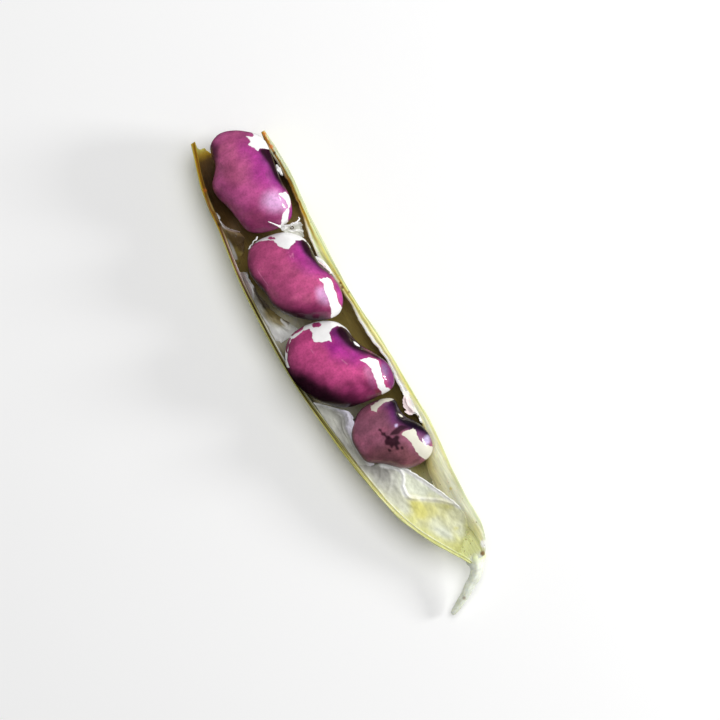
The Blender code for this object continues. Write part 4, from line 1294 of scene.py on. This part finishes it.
def make_film(name, sheet, seed, node=None):
    rows, columns = FILM_GRID
    front = open_curve(sheet["front"], rows)
    back = open_curve(sheet["back"], rows)
    across = np.broadcast_to(np.linspace(0, 1, columns), (rows, columns))
    edges = front[:, None] + (back - front)[:, None] * across[..., None]
    pixels = edges[..., :2]
    flat = on_part(pixels)
    skin = flat.reshape(-1, 2)
    level = np.concatenate([skin, np.zeros((len(skin), 1))], 1)
    ragged = sheet["rough"] * noise(level * 1.6, seed, 4).reshape(across.shape)
    waves = sheet["rough"] * noise(level * (0.5, 0.7, 1), seed + 3, 3).reshape(across.shape)
    end = np.minimum(np.arange(rows), np.arange(rows)[::-1])[:, None] / rows
    ragged = ragged * np.maximum((1 - across) ** 2, smoothstep(FILM_END, 0.0, end))
    at_front, at_back = sheet["lifts"]
    lift = at_back + (at_front - at_back) * (1 - across) ** CURL_POWER + FILM_WAVES * waves
    for half_width, height, line in sheet["ridges"]:
        off = line_distance(skin, open_curve(on_part(line), 30)).reshape(across.shape)
        lift = lift + height * np.exp(-(off / half_width) ** 2)
    wall = wall_height(flat[..., 0], flat[..., 1])
    if edges.shape[-1] > 2:
        sag = sheet["sag"] * np.sin(math.pi * across)
        sag = sag * np.sin(math.pi * np.linspace(*SAG_SPAN, rows))[:, None]
        z = np.maximum(edges[..., 2] - sag + lift, wall + FILM_CLEAR)
    else:
        z = wall + np.maximum(lift, FILM_CLEAR)
    over = np.concatenate([on_part(pixels, z) + FILM_RAGGED * ragged[..., None], z[..., None]], -1)
    seam_y, seam_z = seam_points(over[..., 0])[2]
    rim_y = seam_y - WALL_AT_BACK_SEAM
    over[..., 1] = np.minimum(over[..., 1], rim_y + RIM_OVERLAP)
    level_most = seam_z - RIM_DROP + RIM_RISE * np.maximum(0, rim_y - over[..., 1])
    over[..., 2] = np.minimum(over[..., 2], level_most)
    normals = grid_normals(over, wrap=False)
    normals *= np.sign(normals[..., 2:])
    under = over - normals * FILM_THICK
    at_front, at_back = sheet["colours"]
    tint = painted(linear(at_front), at_back, smoothstep(0.0, 0.6, across)).reshape(-1, 3)
    tint = shaded(tint, skin, sheet["shades"], FILM_WOBBLE * waves.ravel()).reshape(*across.shape, 3)
    at_front, at_back = sheet["cover"]
    cover = at_front + (at_back - at_front) * smoothstep(0.0, 0.4, across)
    if sheet["fade"]:
        cover = cover * smoothstep(0, sheet["fade"], np.linspace(1, 0, rows)[:, None])
    make_sheet(name, over, under, tint, cover, node)


def make_sheet(name, over, under, tint, cover, node=None):
    """A thin closed piece between two grids of points, its colour and how much it hides."""
    rows, columns = cover.shape
    loop = np.concatenate([over, under[:, ::-1]], 1)
    faces = grid_faces(rows, 2 * columns).tolist()
    for row in (0, rows - 1):
        first = row * 2 * columns
        last = first + 2 * columns - 1
        strip = [(first + j, first + j + 1, last - 1 - j, last - j) for j in range(columns - 1)]
        faces += [face[::-1] for face in strip] if row == 0 else strip
    tint = np.concatenate([tint, tint[:, ::-1]], 1)
    cover = np.concatenate([cover, cover[:, ::-1]], 1)
    piece = new_piece(name, loop.reshape(-1, 3), faces, film_finish(name + "_skin"),
                      tint.reshape(-1, 3), {"cover": cover.ravel()})
    if node:
        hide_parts(node)


# Ragged strips of torn lining and cord: each runs along a line of (pixel, z, half width), in the
# photograph's pixels and millimetres.
SHREDS = {
    "shred_tip_long": [
        ((268, 221.6), 8.75, 0.05),
        ((273, 223.4), 8.5, 0.07),
        ((277, 225.2), 7.9, 0.12),
        ((281, 227), 7.2, 0.25),
    ],
    "shred_tip_fork": [
        ((293, 223.6), 6.6, 0.06),
        ((297, 221.4), 6.4, 0.08),
        ((299.4, 219), 6.3, 0.1),
        ((298.4, 217), 6.4, 0.04),
    ],
    "shred_tip_flap": [
        ((276.4, 164.6), 5.2, 0.1),
        ((278, 168), 5.35, 0.3),
        ((280.4, 172), 5.4, 0.26),
        ((282.6, 175.5), 5.2, 0.1),
    ],
    "shred_second_top": [
        ((249, 249.4), 6.3, 0.16),
        ((250.6, 245.6), 6.7, 0.08),
        ((252.4, 244), 7.0, 0.12),
        ((253.6, 241), 7.2, 0.05),
        ((256, 239.6), 7.3, 0.12),
        ((257.4, 236.4), 7.3, 0.06),
    ],
}
SHRED_GRID = (60, 14)
SHRED_THICK = 0.06
SHRED_COVER = 0.95
SHRED_FRAY = 0.35
SHRED_WAVES = 0.12
SHRED_CURL = 0.25


def make_shred(name, stations, seed):
    rows, columns = SHRED_GRID
    line = open_curve([(*on_part(pixel, z), z, half) for pixel, z, half in stations], rows)
    centre, half = line[:, :3], line[:, 3:4]
    side = line_sides(centre)[1]
    across = np.linspace(-1, 1, columns)
    frayed = half * (1 + SHRED_FRAY * noise(np.stack([np.arange(rows) * 0.3] * 3, -1), seed, 3)[:, None])
    over = centre[:, None] + side[:, None] * (frayed * across)[..., None]
    waves = noise(over.reshape(-1, 3) * 2.2, seed + 4, 3).reshape(rows, columns)
    over[..., 2] += SHRED_WAVES * waves - SHRED_CURL * half * across ** 2
    under = over - (0, 0, SHRED_THICK)
    tint = linear("film_white") * (1 + 0.06 * waves)[..., None]
    make_sheet(name, over, under, tint, np.full((rows, columns), SHRED_COVER))


def add_area_light(name, place, aim, size, power, shines):
    """A rectangle of light; one that doesn't shine lights surfaces without showing as a reflection."""
    data = bpy.data.lights.new(name, "AREA")
    data.shape = "RECTANGLE"
    data.size, data.size_y = size[0] * MM, size[1] * MM
    data.energy = power
    lamp = bpy.data.objects.new(name, data)
    lamp.location = [c * MM for c in place]
    direction = np.array(aim, float) - np.array(place, float)
    lamp.rotation_euler = Vector(direction).to_track_quat("-Z", "Y").to_euler()
    lamp.visible_camera = False
    lamp.visible_glossy = shines
    bpy.context.scene.collection.objects.link(lamp)


FLOOR_SIDE = 1600.0
WORLD_STRENGTH = 0.24
# Each light's place from the picture's middle (to its right, to its top, up), its size and its power.
OVERHEAD = ((170, 230, 760), (700, 700), 4.9)
WINDOW = ((310, 30, 105), (80, 64), 0.62)


def make_stage():
    half = FLOOR_SIDE / 2
    corners = np.array([(-half, -half, 0), (half, -half, 0), (half, half, 0), (-half, half, 0)])
    mesh = bpy.data.meshes.new("studio_floor")
    mesh.from_pydata(corners * MM, [], [(0, 1, 2, 3)])
    mesh.materials.append(floor_finish())
    floor = bpy.data.objects.new("studio_floor", mesh)
    bpy.context.scene.collection.objects.link(floor)
    floor.visible_glossy = False

    world = bpy.data.worlds.new("studio")
    world.use_nodes = True
    world.node_tree.nodes["Background"].inputs["Color"].default_value = (1, 1, 1, 1)
    world.node_tree.nodes["Background"].inputs["Strength"].default_value = WORLD_STRENGTH
    world.cycles_visibility.glossy = False
    bpy.context.scene.world = world

    centre = on_part((PHOTO_SIDE / 2, PHOTO_SIDE / 2))
    right = (on_part((PHOTO_SIDE / 2 + 1, PHOTO_SIDE / 2)) - centre) / PIXEL_MM
    up = (on_part((PHOTO_SIDE / 2, PHOTO_SIDE / 2 - 1)) - centre) / PIXEL_MM

    aim = (*centre, EQUATOR_Z)
    for name, (offset, size, power), shines in (("overhead", OVERHEAD, False), ("window", WINDOW, True)):
        place = (*(centre + right * offset[0] + up * offset[1]), offset[2])
        add_area_light(name, place, aim, size, power, shines)

    data = bpy.data.cameras.new("camera")
    data.sensor_width = SENSOR_MM
    data.lens = SENSOR_MM * CAMERA_ABOVE / (PHOTO_SIDE * PIXEL_MM)
    camera = bpy.data.objects.new("camera", data)
    camera.location = (centre[0] * MM, centre[1] * MM, (EQUATOR_Z + CAMERA_ABOVE) * MM)
    camera.rotation_euler = (0, 0, math.atan2(right[1], right[0]))
    bpy.context.scene.collection.objects.link(camera)
    bpy.context.scene.camera = camera
    bpy.context.scene.view_settings.view_transform = "Standard"


# The first seed of each kind of piece, and the step to the next piece's.
SEEDS = {"bean": (41, 11), "film": (90, 10), "scrap": (150, 10), "shred": (200, 10)}


def seeded(kind, table):
    """A table's names and entries, each with its seed."""
    first, step = SEEDS[kind]
    return [(first + step * number, *entry) for number, entry in enumerate(table.items())]


make_valve()
make_stalk()
ball = unit_sphere()
for bean_seed, bean_name, _ in seeded("bean", BEAN_SKINS):
    make_bean(bean_name, ball, bean_seed)
for film_seed, film_name, film_sheet in seeded("film", FILMS):
    make_film(film_name + "_dressed", film_sheet, film_seed, film_name)
for scrap_seed, scrap_name, scrap_sheet in seeded("scrap", SCRAPS):
    make_film(scrap_name, scrap_sheet, scrap_seed)
for shred_seed, shred_name, shred_line in seeded("shred", SHREDS):
    make_shred(shred_name, shred_line, shred_seed)
make_stage()
